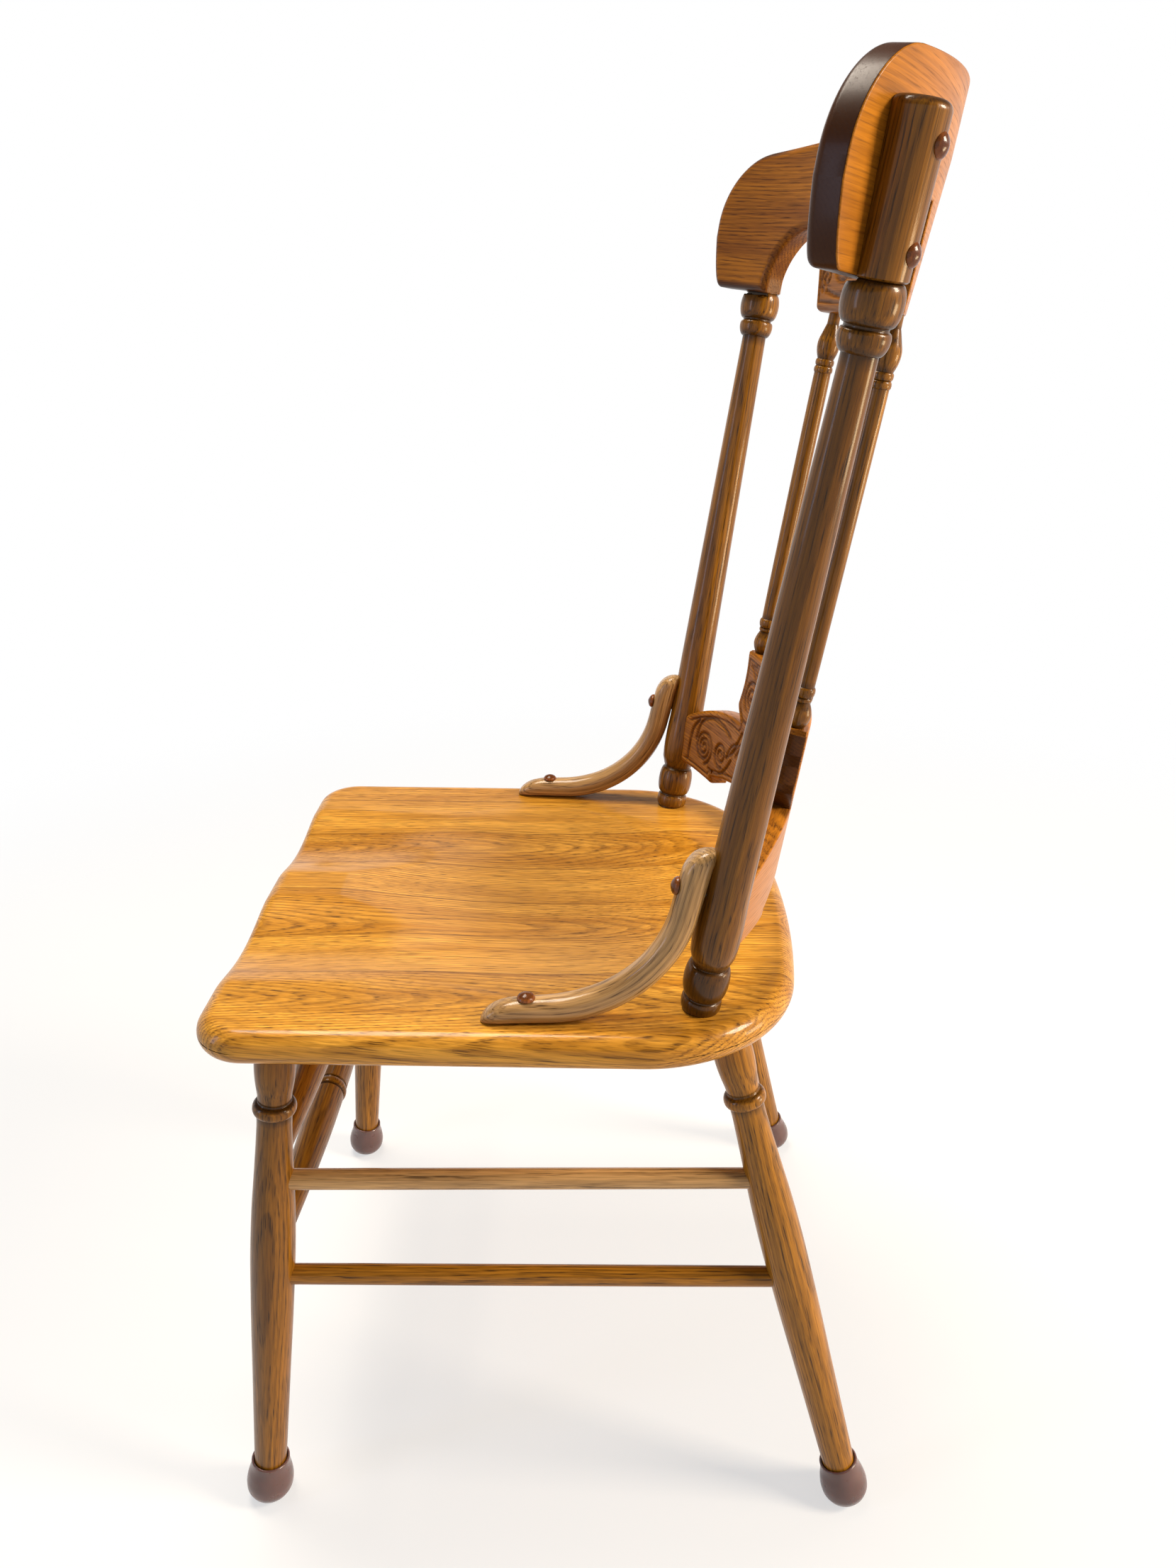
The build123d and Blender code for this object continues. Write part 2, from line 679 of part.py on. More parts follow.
crest_places = [
    facing(
        post_point(post_lap_start + crest_button_lower + step * crest_button_spacing)
        + crest_rearward * (post_lap_diameter / 2 - button_sag),
        crest_rearward,
    )
    for step in (0, 1)
]
brace_screw_length = brace_thickness + screw_bite
lap_axis_radius = math.hypot(lap_x, crest_bow_centre)
lap_wood = lap_axis_radius + post_lap_diameter / 2 - button_sag - crest_bow_radius - crest_thickness / 2
crest_screw_length = lap_wood + screw_bite
brace_bores = [place * fastening_bore(brace_screw_length) for place in brace_places]
crest_bores = [place * fastening_bore(crest_screw_length) for place in crest_places]

# Posts, crest rail, lower rail, spindles and braces with their sockets and bores
post_tenon = rod(post_point(overrun), post_point(-post_tenon_length), post_tenon_diameter)
post_socket_end = post_point(-post_tenon_length - socket_relief)
post_socket = rod(post_point(overrun), post_socket_end, post_tenon_diameter + 2 * glue_gap)
post = post_blank + post_tenon - crest_blank - rail_tenon(glue_gap, socket_relief)
for bore in brace_bores[1:] + crest_bores:
    post = post - bore
parts["back_post_left"] = post
parts["back_post_right"] = mirrored(post)

spindle_places = [(index - (spindle_count - 1) / 2) * spindle_pitch for index in range(spindle_count)]
crest = crest_blank
rail = rail_body + rail_tenon(0, 0) + mirrored(rail_tenon(0, 0))
for index, x in enumerate(spindle_places, start=1):
    crest = crest - spindle_tenons(x, glue_gap, socket_relief)
    rail = rail - spindle_tenons(x, glue_gap, socket_relief)
    parts[f"spindle_{index}"] = spindle(x)
for bore in crest_bores:
    crest = crest - bore - mirrored(bore)
parts["crest_rail"] = crest
parts["lower_rail"] = rail

brace = brace_blank
for bore in brace_bores:
    brace = brace - bore
parts["hip_brace_left"] = brace
parts["hip_brace_right"] = mirrored(brace)


def on_both_sides(shapes):
    """A group of like pieces with their mirror images."""
    return Compound(shapes + [mirrored(shape) for shape in shapes])


parts["brace_buttons"] = on_both_sides([place * button() for place in brace_places])
parts["brace_screws"] = on_both_sides([place * screw(brace_screw_length) for place in brace_places])
parts["crest_buttons"] = on_both_sides([place * button() for place in crest_places])
parts["crest_screws"] = on_both_sides([place * screw(crest_screw_length) for place in crest_places])

# Seat: shaped outline with round edges, saddle hollows, then ripped into its glued boards
seat_half = seat_width / 2
seat_side_rear = seat_rear_reach - seat_rear_crown
seat_outline = make_face(
    [
        Line((-seat_half, -seat_front_reach), (seat_half, -seat_front_reach)),
        Line((seat_half, -seat_front_reach), (seat_half, seat_side_rear)),
        ThreePointArc((seat_half, seat_side_rear), (0, seat_rear_reach), (-seat_half, seat_side_rear)),
        Line((-seat_half, seat_side_rear), (-seat_half, -seat_front_reach)),
    ]
)
for side in (1, -1):
    front = seat_outline.vertices().sort_by_distance((side * seat_half, -seat_front_reach, 0))[0]
    seat_outline = fillet(front, seat_front_corner_radius)
    rear = seat_outline.vertices().sort_by_distance((side * seat_half, seat_side_rear, 0))[0]
    seat_outline = fillet(rear, seat_rear_corner_radius)
slab = Pos(0, 0, -seat_thickness) * extrude(seat_outline, amount=seat_thickness)
rim = slab.faces().sort_by(Axis.Z)[0].edges() + slab.faces().sort_by(Axis.Z)[-1].edges()
slab = fillet(rim, min(seat_edge_radius, 0.47 * seat_thickness))
bowl_sphere = (bowl_radius**2 + bowl_depth**2) / (2 * bowl_depth)
slab = slab - Pos(0, -bowl_centre_reach, bowl_sphere - bowl_depth) * Sphere(bowl_sphere)
hollow_radius = (thigh_hollow_half_width**2 + thigh_hollow_depth**2) / (2 * thigh_hollow_depth)
hollow_pitch = math.degrees(math.atan2(thigh_hollow_depth, thigh_hollow_reach))
hollow = Rot(90, 0, 0) * Cylinder(hollow_radius, 4 * thigh_hollow_reach)
hollow = Rot(hollow_pitch, 0, 0) * Pos(0, 0, hollow_radius - thigh_hollow_depth) * hollow
for side in (1, -1):
    slab = slab - Pos(side * thigh_hollow_spacing / 2, -seat_front_reach, 0) * hollow
seat = seat_frame * slab
seat_cuts = [tenon_into_seat(top, foot, glue_gap, socket_relief) for top, foot in legs.values()]
seat_cuts += [post_socket, brace_bores[0]]
for cut in seat_cuts:
    seat = seat - cut - mirrored(cut)
seams = [seat_seam_offset]
while seams[0] - seat_board_width > -seat_half:
    seams.insert(0, seams[0] - seat_board_width)
while seams[-1] + 1.5 * seat_board_width < seat_half:
    seams.append(seams[-1] + seat_board_width)
board_edges = [-seat_half - overrun] + seams + [seat_half + overrun]
for index in range(len(board_edges) - 1):
    right, left = board_edges[index : index + 2]
    strip = seat_frame * Pos((right + left) / 2, 0, 0) * Box(left - right, 2 * past, 2 * past)
    parts[f"seat_board_{index + 1}"] = seat & strip

# The origin is under the middle of the chair, on the floor
whole = Compound([solid for part in parts.values() for solid in part.solids()]).bounding_box()
to_origin = Pos(0, -(whole.min.Y + whole.max.Y) / 2, 0)
for name, part in parts.items():
    export_step(Compound([to_origin * solid for solid in part.solids()]), f"parts/{name}.step")
print(len(parts), "nodes", whole.size, "shifted", to_origin.position.Y)
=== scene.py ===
# %% [markdown]
# # Spindle back dining chair
# This is a lacquered oak chair with a turned back, a pressed crest rail and a pressed lower rail.
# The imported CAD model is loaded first, because it fixes every place and size.
# Each visible piece is then worked out again as a finer surface with numpy and takes the place of its node.

# %% Load the frame
import bmesh
import bpy
import numpy as np
from mathutils import Matrix


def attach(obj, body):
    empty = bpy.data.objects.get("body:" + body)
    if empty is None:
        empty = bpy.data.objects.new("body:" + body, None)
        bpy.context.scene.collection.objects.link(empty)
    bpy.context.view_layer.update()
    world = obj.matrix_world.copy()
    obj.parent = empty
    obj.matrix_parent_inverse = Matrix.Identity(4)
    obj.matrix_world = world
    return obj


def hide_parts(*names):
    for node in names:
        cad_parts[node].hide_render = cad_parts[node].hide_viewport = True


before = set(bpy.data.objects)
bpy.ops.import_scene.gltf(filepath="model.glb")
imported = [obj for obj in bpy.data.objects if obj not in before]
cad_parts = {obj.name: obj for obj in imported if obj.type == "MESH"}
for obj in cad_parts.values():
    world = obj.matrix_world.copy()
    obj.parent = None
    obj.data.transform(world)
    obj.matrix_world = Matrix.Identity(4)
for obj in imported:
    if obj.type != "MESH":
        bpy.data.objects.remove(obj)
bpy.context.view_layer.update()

# %% [markdown]
# ## Where the pieces stand
# The seat slopes a little and the back leans, so two tilted frames carry almost everything.
# Sizes are written in millimetres, the way a chair maker would, and become metres only in the mesh.
# Both frames start on the line between the two back posts, at the height of the seat.

# %% Tilted frames
SHIFT = 101.816
SEAT_HEIGHT = 444.0
SEAT_TILT = np.radians(1.7)
BACK_LEAN = np.radians(9.57)
UPWARD = np.array([0.0, 0.0, 1.0])


def leaning(points, angle):
    """Turns (across, depth, rise) about the left-right line by the angle, then lifts it to seat height."""
    x, depth, rise = np.moveaxis(np.asarray(points, float), -1, 0)
    y = depth * np.cos(angle) + rise * np.sin(angle) + SHIFT
    z = SEAT_HEIGHT - depth * np.sin(angle) + rise * np.cos(angle)
    return stacked(x, y, z)


def on_floor(x, y, z):
    """A point given from the line of the back posts and the floor."""
    return np.array([x, y + SHIFT, z], float)


def unit(way):
    """The direction of a vector: the vector over its length."""
    return way / np.linalg.norm(way)


def stacked(*parts):
    """Points from arrays of one shape, one array for each coordinate."""
    return np.stack(parts, -1)


def held(values):
    """Values kept between 0 and 1."""
    return np.clip(values, 0, 1)


def circle(radius, across):
    """Height of a circle beside its middle: the root of the radius squared less the distance squared."""
    return np.sqrt(np.maximum(radius ** 2 - across ** 2, 0))


print("seat front edge at", leaning([0, -346, 0], SEAT_TILT).round(1), "mm")

# %% [markdown]
# ## From a grid of points to a mesh
# A surface with two parameters is a grid of points, and its faces are the squares between neighbours.
# The index array of those squares is the same for every grid, so numpy makes it in one line.
# Every point also carries a place in its plank of wood, which later gives the grain, and a mark for stain and
# painted shade:
# it is 1 where stain stays in a recess, above 0 where shade is painted, 0 on plain wood and below 0 on a face
# that was wiped paler.

# %% Mesh maker
FINISH = {}


def grid_faces(rows, columns, first):
    """Corner numbers of the squares of a rows by columns grid, counted from the given first point."""
    corner = first + np.arange(rows - 1)[:, None] * columns + np.arange(columns - 1)[None, :]
    return stacked(corner, corner + 1, corner + columns + 1, corner + columns).reshape(-1, 4)


def patch(points, grain, stain_and_shade=0.0):
    """One grid surface: its points, its place in the plank, and the mark of stain and painted shade of each
    point.
    """
    points = np.asarray(points, float)
    return points, np.broadcast_to(grain, points.shape), np.broadcast_to(stain_and_shade, points.shape[:2])


def make_piece(node, patches, slot, tone=0.5, crease=38):
    """Joins grids into one closed mesh for a node: equal points merge and faces turn to point outwards."""
    sizes = [p.shape[0] * p.shape[1] for p, _, _ in patches]
    firsts = np.concatenate([[0], np.cumsum(sizes)[:-1]])
    corners = np.concatenate([grid_faces(*p.shape[:2], first) for (p, _, _), first in zip(patches, firsts)])
    points = np.concatenate([p.reshape(-1, 3) for p, _, _ in patches]) * 0.001
    grain = np.concatenate([g.reshape(-1, 3) for _, g, _ in patches]) * 0.001
    stain_and_shade = np.concatenate([mark.reshape(-1) for _, _, mark in patches])
    mesh = bpy.data.meshes.new(node)
    mesh.vertices.add(len(points))
    mesh.vertices.foreach_set("co", points.ravel())
    mesh.loops.add(corners.size)
    mesh.loops.foreach_set("vertex_index", corners.ravel().astype(np.int32))
    mesh.polygons.add(len(corners))
    mesh.polygons.foreach_set("loop_start", np.arange(0, corners.size, 4, dtype=np.int32))
    mesh.attributes.new("grain", "FLOAT_VECTOR", "POINT").data.foreach_set("vector", grain.ravel())
    for key, values in (("stain_and_shade", stain_and_shade), ("tone", np.full(len(points), tone))):
        mesh.attributes.new(key, "FLOAT", "POINT").data.foreach_set("value", values.astype(np.float32))
    mesh.update(calc_edges=True)
    work = bmesh.new()
    work.from_mesh(mesh)
    bmesh.ops.remove_doubles(work, verts=work.verts, dist=2e-6)
    bmesh.ops.dissolve_degenerate(work, dist=1e-7, edges=work.edges)
    bmesh.ops.recalc_face_normals(work, faces=work.faces)
    work.to_mesh(mesh)
    work.free()
    mesh.polygons.foreach_set("use_smooth", np.ones(len(mesh.polygons), bool))
    mesh.set_sharp_from_angle(angle=np.radians(crease))
    piece = bpy.data.objects.new(node, mesh)
    bpy.context.scene.collection.objects.link(piece)
    mesh.materials.append(FINISH[slot])
    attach(piece, "root")
    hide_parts(node)
    print(node, len(mesh.polygons), "faces")


# %% [markdown]
# ## Oak under lacquer
# Oak shows growth rings with a band of open pores, short dark pore lines along the grain
# and slow changes of tone.
# A photograph could be wrapped on, but a pattern worked out in space is better for turned wood:
# the rings then run through a leg the way they run through the blank it was cut from.
# Every piece stores its own place in a plank, so the same recipe gives each piece its own figure.

# %% Colour and node helpers
def srgb(code):
    """An sRGB hex colour as linear red, green, blue and alpha."""
    value = np.array([int(code[i:i + 2], 16) for i in (1, 3, 5)]) / 255
    linear = np.where(value <= 0.04045, value / 12.92, ((value + 0.055) / 1.055) ** 2.4)
    return (*[float(v) for v in linear], 1.0)


def feed(made, inputs):
    """Gives each input of a node a plain value, or a link where the value is another node's output."""
    for key, value in inputs.items():
        if isinstance(value, bpy.types.NodeSocket):
            made.id_data.links.new(value, made.inputs[key])
        else:
            made.inputs[key].default_value = value


def add(tree, kind, inputs=None, **settings):
    """Adds one node, sets its properties and feeds its inputs."""
    made = tree.nodes.new(kind)
    for key, value in settings.items():
        setattr(made, key, value)
    feed(made, inputs or {})
    return made


def maths(tree, operation, *values, clamp=False):
    """Output of a maths node on numbers and other outputs."""
    made = add(tree, "ShaderNodeMath", dict(enumerate(values)), operation=operation, use_clamp=clamp)
    return made.outputs["Value"]


def mixed(tree, share, first, second):
    """Output of two colours mixed by the second one's share."""
    made = add(tree, "ShaderNodeMix", {"Factor": share, "A": first, "B": second}, data_type="RGBA")
    return made.outputs["Result"]


def noise(tree, place, scale, detail, roughness=0.5):
    """Outputs of a noise pattern over a place."""
    return add(tree, "ShaderNodeTexNoise", {
        "Vector": place, "Scale": scale, "Detail": detail, "Roughness": roughness}).outputs


def ramp(tree, source, *stops):
    """Output of a grey ramp over a value; each stop is (position, grey value)."""
    made = add(tree, "ShaderNodeValToRGB", {"Fac": source})
    elements = made.color_ramp.elements
    while len(elements) < len(stops):
        elements.new(0.5)
    for element, (position, grey) in zip(elements, stops):
        element.position = position
        element.color = (grey, grey, grey, 1)
    return made.outputs["Color"]


def new_material(name):
    """A material with nodes, its node tree and its shader."""
    material = bpy.data.materials.new(name)
    material.use_nodes = True
    return material, material.node_tree, material.node_tree.nodes["Principled BSDF"]


# %% Oak recipe
RING_MM = 2.6
PORE_MM = 0.42
FIBRE_MM = 0.7
STREAK_MM = 6.0
FIBRE_SHARE = 0.42


def oak(name, pale, mid, dark, pore, roughness=0.32, coat=0.3, pores=0.85, ring=0.4):
    """Lacquered oak: ring bands, pore lines and streaks mixed from four colours; recesses hold darker stain,
    and the same mark darkens places of painted shade.

    Pores are really about 0.3 mm wide and are drawn 0.42 mm wide, because finer ones would not show.
    """
    material, tree, shader = new_material(name)
    place = add(tree, "ShaderNodeAttribute", attribute_name="grain").outputs["Vector"]
    mark, tone = [
        add(tree, "ShaderNodeAttribute", attribute_name=key).outputs["Fac"] for key in ("stain_and_shade", "tone")]

    def drawn(size_mm, length, detail, seed=0.0):
        """Noise spots of the given width, drawn out along the grain by the given number of times."""
        squeezed = add(tree, "ShaderNodeMapping", {
            "Vector": place, "Scale": (1, 1, 1 / length), "Location": (seed, seed, seed)}).outputs["Vector"]
        return noise(tree, squeezed, 1000 / (2.0 * size_mm), detail, 0.55)["Fac"]

    waver = add(tree, "ShaderNodeMapping", {"Vector": place, "Scale": (1, 1, 0.12)}).outputs["Vector"]
    wobble = noise(tree, waver, 28.0, 2.0)["Color"]
    centred = add(tree, "ShaderNodeVectorMath", {0: wobble, 1: (0.5, 0.5, 0.5)}, operation="SUBTRACT")
    swing = add(
        tree, "ShaderNodeVectorMath", {0: centred.outputs["Vector"], "Scale": 0.013}, operation="SCALE")
    bent = add(tree, "ShaderNodeVectorMath", {0: place, 1: swing.outputs["Vector"]}, operation="ADD")
    # A ring wave repeats every 0.314 divided by its scale, in metres
    rings = add(tree, "ShaderNodeTexWave", {
        "Vector": bent.outputs["Vector"], "Scale": 314.0 / RING_MM, "Distortion": 0.8, "Detail": 2.0,
        "Detail Scale": 0.6}, wave_type="RINGS", rings_direction="Z", wave_profile="SAW").outputs["Fac"]
    early = ramp(tree, rings, (0.0, 0.85), (0.2, 1.0), (0.5, 0.12), (0.92, 0.0), (1.0, 0.7))
    streak = ramp(tree, drawn(STREAK_MM, 24, 3.0), (0.3, 0.0), (0.7, 1.0))
    fibre = ramp(tree, drawn(FIBRE_MM, 45, 2.0, 1.7), (0.34, 0.0), (0.66, 1.0))
    lines = ramp(tree, drawn(PORE_MM, 26, 1.0, 4.1), (0.52, 0.0), (0.66, 1.0))
    banded = maths(tree, "MAXIMUM", early, maths(tree, "MULTIPLY_ADD", early, 0.3, 0.4))
    # A wiped face has hardly any dark pores, and stain fills the pores of a recess level
    wiped = maths(tree, "MULTIPLY_ADD", mark, 1.3, 1.0, clamp=True)
    level = maths(tree, "MULTIPLY_ADD", mark, -1.0, 1.0, clamp=True)
    open_pores = maths(tree, "MULTIPLY", lines, maths(tree, "MULTIPLY", banded, wiped))
    # The tone of a plank shifts the whole streak pattern to its pale or its dark side
    leaning_tone = maths(tree, "MULTIPLY_ADD", tone, 1.1, -0.55)
    toned = maths(tree, "ADD", streak, maths(tree, "MULTIPLY_ADD", mark, 0.8, leaning_tone), clamp=True)
    colour = mixed(tree, toned, srgb(pale), srgb(mid))
    for figure, share in ((early, ring), (fibre, FIBRE_SHARE)):
        part = maths(tree, "MULTIPLY", figure, maths(tree, "MULTIPLY", wiped, share))
        colour = mixed(tree, part, colour, srgb(dark))
    colour = mixed(tree, maths(tree, "MULTIPLY", open_pores, pores), colour, srgb(pore))
    # The mark darkens towards the pore colour: real stain in recesses, and painted shade at the feet of the
    # posts and on the cut edges of the rails
    colour = mixed(tree, maths(tree, "MULTIPLY", mark, 0.94, clamp=True), colour, srgb(pore))
    relief = maths(tree, "MULTIPLY", maths(tree, "ADD", open_pores, fibre), level)
    bump = add(tree, "ShaderNodeBump", {"Height": relief, "Strength": 0.18, "Distance": 0.0003}, invert=True)
    feed(shader, {
        "Base Color": colour, "Roughness": maths(tree, "MULTIPLY_ADD", open_pores, 0.2, roughness),
        "Normal": bump.outputs["Normal"], "Specular IOR Level": 0.12, "Coat Weight": coat,
        "Coat Roughness": 0.12})
    print("material", name, "rings", RING_MM, "mm, pores", PORE_MM, "mm")
    return material


# Boards under clear amber lacquer: bright, warm, with clear dark lines along the grain
FINISH["oak_seat"] = oak("lacquered_oak_seat", "#EDAB40", "#BA7A1D", "#84520F", "#472907", ring=0.5)
# Turned blanks under the same lacquer with a browner stain, so the rounds look deeper than the seat
FINISH["oak_turned"] = oak("stained_oak_turned", "#B0751F", "#774A0E", "#4C2C06", "#231303")
# Pressed boards: stain stays in the pressed lines and draws the ornament
FINISH["oak_pressed"] = oak("stained_oak_pressed", "#BC761F", "#8A5014", "#5A300A", "#371A06", coat=0.04)
# Bent arms and upper dowels: paler, greyer sapwood with a cool sheen
FINISH["oak_bent"] = oak(
    "stained_oak_bent", "#D6A86C", "#A98150", "#7A5833", "#47301A", roughness=0.25, coat=0.45)
# Plugs turned across the grain, redder and more glossy
FINISH["oak_button"] = oak(
    "lacquered_oak_button", "#9C5A28", "#80461C", "#5E3011", "#3A1C08", roughness=0.22, pores=0.4)

# %% [markdown]
# ## Soft foot caps and hidden screws
# The caps are cast silicone: a milky mauve brown that lets a little light in and has a soft sheen.
# The screws sit under the buttons. They keep their CAD shape and get a blackened steel finish.

# %% Silicone and steel
def cloudy(name, low, high, size_mm, roughness, bump_mm, **sockets):
    """A finish whose colour drifts between two tones in cloudy spots, with bumps a third of their size."""
    material, tree, shader = new_material(name)
    place = add(tree, "ShaderNodeTexCoord").outputs["Object"]
    cloud = noise(tree, place, 500 / size_mm, 4.0)["Fac"]
    grit = noise(tree, place, 1500 / size_mm, 2.0)["Fac"]
    bump = add(tree, "ShaderNodeBump", {"Height": grit, "Strength": 0.2, "Distance": bump_mm * 0.001})
    feed(shader, {"Base Color": mixed(tree, cloud, srgb(low), srgb(high)),
                  "Roughness": maths(tree, "MULTIPLY_ADD", grit, 0.2, roughness - 0.1),
                  "Normal": bump.outputs["Normal"], **sockets})
    print("material", name)
    return material


# Cast silicone: milky, with light that sinks in a little and a soft sheen
FINISH["silicone"] = cloudy("cast_silicone", "#4E3634", "#745753", 12.0, 0.3, 0.1, **{
    "Subsurface Weight": 0.4, "Subsurface Scale": 0.005, "IOR": 1.41, "Coat Weight": 0.3})
# Blackened steel wire: dark metal with a faint blur, so the screws hide under their buttons
STEEL = cloudy("blackened_steel", "#2E2A27", "#3B3632", 2.0, 0.45, 0.03, Metallic=1.0)
for node in ("brace_screws", "crest_screws"):
    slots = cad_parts[node].data.materials
    slots.clear()
    slots.append(STEEL)
print("screws keep their CAD shape")

# %% [markdown]
# ## Turning on a lathe
# A turned piece is a profile (distance along the axis, radius) carried round the axis.
# Beads and balls are half ellipses on a straight chord. Long swells are smooth curves through a few points.
# The narrow grooves get a recess mark, because stain and dust collect there and draw a dark line.

# %% Lathe helpers
def bead(length, first, last, bulge, count=15):
    """Half ellipse: the radius runs from first to last and swells by the bulge at mid length."""
    turn = np.linspace(0, np.pi, count)
    along = (1 - np.cos(turn)) / 2
    return along * length, first + (last - first) * along + bulge * np.sin(turn)


def steps(places, radii):
    """Straight lines through the given points."""
    return np.array(places, float), np.array(radii, float)


def through(places, radii, count=40):
    """Smooth cubic through the given points, with the slope at each taken from its neighbours."""
    places, radii = steps(places, radii)
    slope = np.gradient(radii, places)
    at = np.linspace(places[0], places[-1], count)
    k = np.clip(np.searchsorted(places, at, "right") - 1, 0, len(places) - 2)
    span = places[k + 1] - places[k]
    t = (at - places[k]) / span
    low = radii[k] * (1 + 2 * t) * (1 - t) ** 2 + slope[k] * span * t * (1 - t) ** 2
    high = radii[k + 1] * t * t * (3 - 2 * t) + slope[k + 1] * span * t * t * (t - 1)
    return at - places[0], low + high


def chain(*parts):
    """Sets profile parts end to end: each part starts where the one before it stops."""
    starts = np.cumsum([0.0] + [along[-1] for along, _ in parts[:-1]])
    return (np.concatenate([along + start for (along, _), start in zip(parts, starts)]),
            np.concatenate([radius for _, radius in parts]))


def grooves(along, radius, reach=4.0, depth=1.6):
    """Recess mark of a profile: how far each point lies below the widest one in reach, over the depth."""
    near = np.abs(along[:, None] - along[None, :]) < reach
    widest = np.where(near, radius[None, :], 0).max(1)
    return np.clip((widest - radius - 0.6) / depth, 0, 0.6)


def turned(start, end, profile, plank=(40.0, 0.0, 0.0), around=56, closed=True):
    """Profile carried round the axis from start to end; the plank place is that point seen from the pith."""
    along, radius = profile
    mark = grooves(along, radius)
    if closed:
        along = np.concatenate([along[:1], along, along[-1:]])
        radius = np.concatenate([[0.0], radius, [0.0]])
        mark = np.concatenate([mark[:1], mark, mark[-1:]])
    axis = unit(end - start)
    side = unit(np.cross(axis, [0.0, 1.0, 0.2]))
    other = np.cross(axis, side)
    angle = np.linspace(0, 2 * np.pi, around + 1)
    ring = np.cos(angle)[:, None] * side + np.sin(angle)[:, None] * other
    flat = stacked(np.cos(angle), np.sin(angle), np.zeros_like(angle))
    along, radius = along[:, None, None], radius[:, None, None]
    points = start + along * axis + radius * ring
    grain = np.array(plank) + radius * flat + along * UPWARD
    points[:, -1] = points[:, 0]
    grain[:, -1] = grain[:, 0]
    return patch(points, grain, mark[:, None])


print("lathe ready:", len(bead(10, 5, 5, 2)[0]), "points in a bead")

# %% [markdown]
# ## Legs and foot caps
# The four legs share one profile: a slim vase under the seat, a groove, a ring, a neck and a long swell.
# They splay, so each one is turned about the line from its place under the seat to its place on the floor.
# The cap is an egg with a wide mouth. Its lowest points are pressed flat on the floor.

# %% Legs
SEAT_THICKNESS = 26.5
TENON = 10.0
LEG_TOP = chain(
    bead(TENON, 12.2, 12.6, 0.0, 3),
    through([0, 12, 24, 36, 45, 49], [13.3, 14.3, 14.5, 13.5, 12.2, 11.9], 26),
    bead(2.0, 11.9, 12.3, -0.4, 5),
    bead(9.5, 12.3, 12.7, 3.1, 19),
)
# Each leg: its top under the seat, its foot on the floor, its place in the plank and its tone
legs = {
    "front_leg_left": ((182.0, -295.0), (206.75, -347.0), (57.0, 12.0, 0.0), 0.62),
    "front_leg_right": ((-182.0, -295.0), (-206.75, -347.0), (-48.0, 22.0, 900.0), 0.4),
    "rear_leg_left": ((163.0, 22.0), (212.0, 124.6), (36.0, -38.0, 1900.0), -0.35),
    "rear_leg_right": ((-163.0, 22.0), (-212.0, 124.6), (52.0, 30.0, 2900.0), 0.3),
}
leg_lines = {}
for name, (top, foot, plank, tone) in legs.items():
    high, low = leaning([*top, -SEAT_THICKNESS], SEAT_TILT), on_floor(*foot, 0)
    length = np.linalg.norm(high - low)
    leg_lines[name] = (high, low)
    swell = through([60.5, 68, 80, 110, 145, 176, 230, 300, 380, length - 6],
                    [12.7, 12.45, 12.8, 14.1, 15.8, 16.5, 16.1, 14.6, 12.9, 12.0], 60)
    above = high + (high - low) / length * TENON
    make_piece(name, [turned(above, low, chain(LEG_TOP, swell), plank)], "oak_turned", tone)

# %% Foot caps
CAP_PROFILE = chain(
    through([0.0, 1.0, 3.5, 8.0, 15.5, 24.0, 32.0, 37.5], [0.0, 8.5, 13.6, 17.1, 18.5, 17.4, 15.4, 14.9], 46),
    bead(1.0, 14.9, 13.9, 0.35, 7),
    steps([0.0, -3.0, -8.0, -14.0, -32.0, -32.2], [13.5, 13.0, 12.75, 12.5, 12.3, 0.0]),
)
for leg, (high, low) in leg_lines.items():
    points, grain, mark = turned(low, high, CAP_PROFILE, around=64, closed=False)
    points[..., 2] = np.maximum(points[..., 2], 0.0)
    make_piece("foot_cap_" + leg.replace("leg_", ""), [(points, grain, mark * 0)], "silicone", crease=60)

# %% [markdown]
# ## Stretchers
# Two plain dowels tie the legs on each side and one ties them at the back.
# The two front stretchers swell towards the middle and carry a bead there, between two grooves.
# Each one is turned from leg line to leg line, and its ends run into the legs like the real tenons.

# %% Dowels and front rungs
DOWEL_RADIUS = 7.5


def at_height(leg, z):
    """The point of a leg's line at a height above the floor."""
    high, low = leg_lines[leg]
    return low + (high - low) * z / high[2]


def dowel(length, radius):
    """A plain rod with slightly eased ends."""
    eased = [radius - 0.6, radius - 0.1, radius]
    return chain(through([0, 3, 6], eased, 6), bead(length - 12, radius, radius, 0.25, 24),
                 through([0, 3, 6], eased[::-1], 6))


def rung(length):
    """A rod that swells towards the middle, with a groove, a bead and a groove at its centre."""
    half = length / 2 - 7.0
    swell = through([0, half * 0.12, half * 0.45, half * 0.8, half], [7.5, 8.6, 11.6, 13.7, 14.0], 30)
    middle = chain(bead(2.5, 14.0, 12.8, -0.5, 6), bead(9.0, 12.8, 12.8, 2.3), bead(2.5, 12.8, 14.0, -0.5, 6))
    return chain(swell, middle, (half - swell[0][::-1], swell[1][::-1]))


# Each stretcher: a leg and a height on it, twice, and the slot of its oak
stretchers = {
    "side_stretcher_upper_left": ("front_leg_left", 308.0, "rear_leg_left", 295.0, "oak_bent"),
    "side_stretcher_upper_right": ("front_leg_right", 308.0, "rear_leg_right", 295.0, "oak_bent"),
    "side_stretcher_lower_left": ("front_leg_left", 222.0, "rear_leg_left", 209.0, "oak_turned"),
    "side_stretcher_lower_right": ("front_leg_right", 222.0, "rear_leg_right", 209.0, "oak_turned"),
    "rear_stretcher": ("rear_leg_left", 251.0, "rear_leg_right", 251.0, "oak_turned"),
    "front_stretcher_upper": ("front_leg_left", 323.0, "front_leg_right", 323.0, "oak_turned"),
    "front_stretcher_lower": ("front_leg_left", 241.0, "front_leg_right", 241.0, "oak_turned"),
}
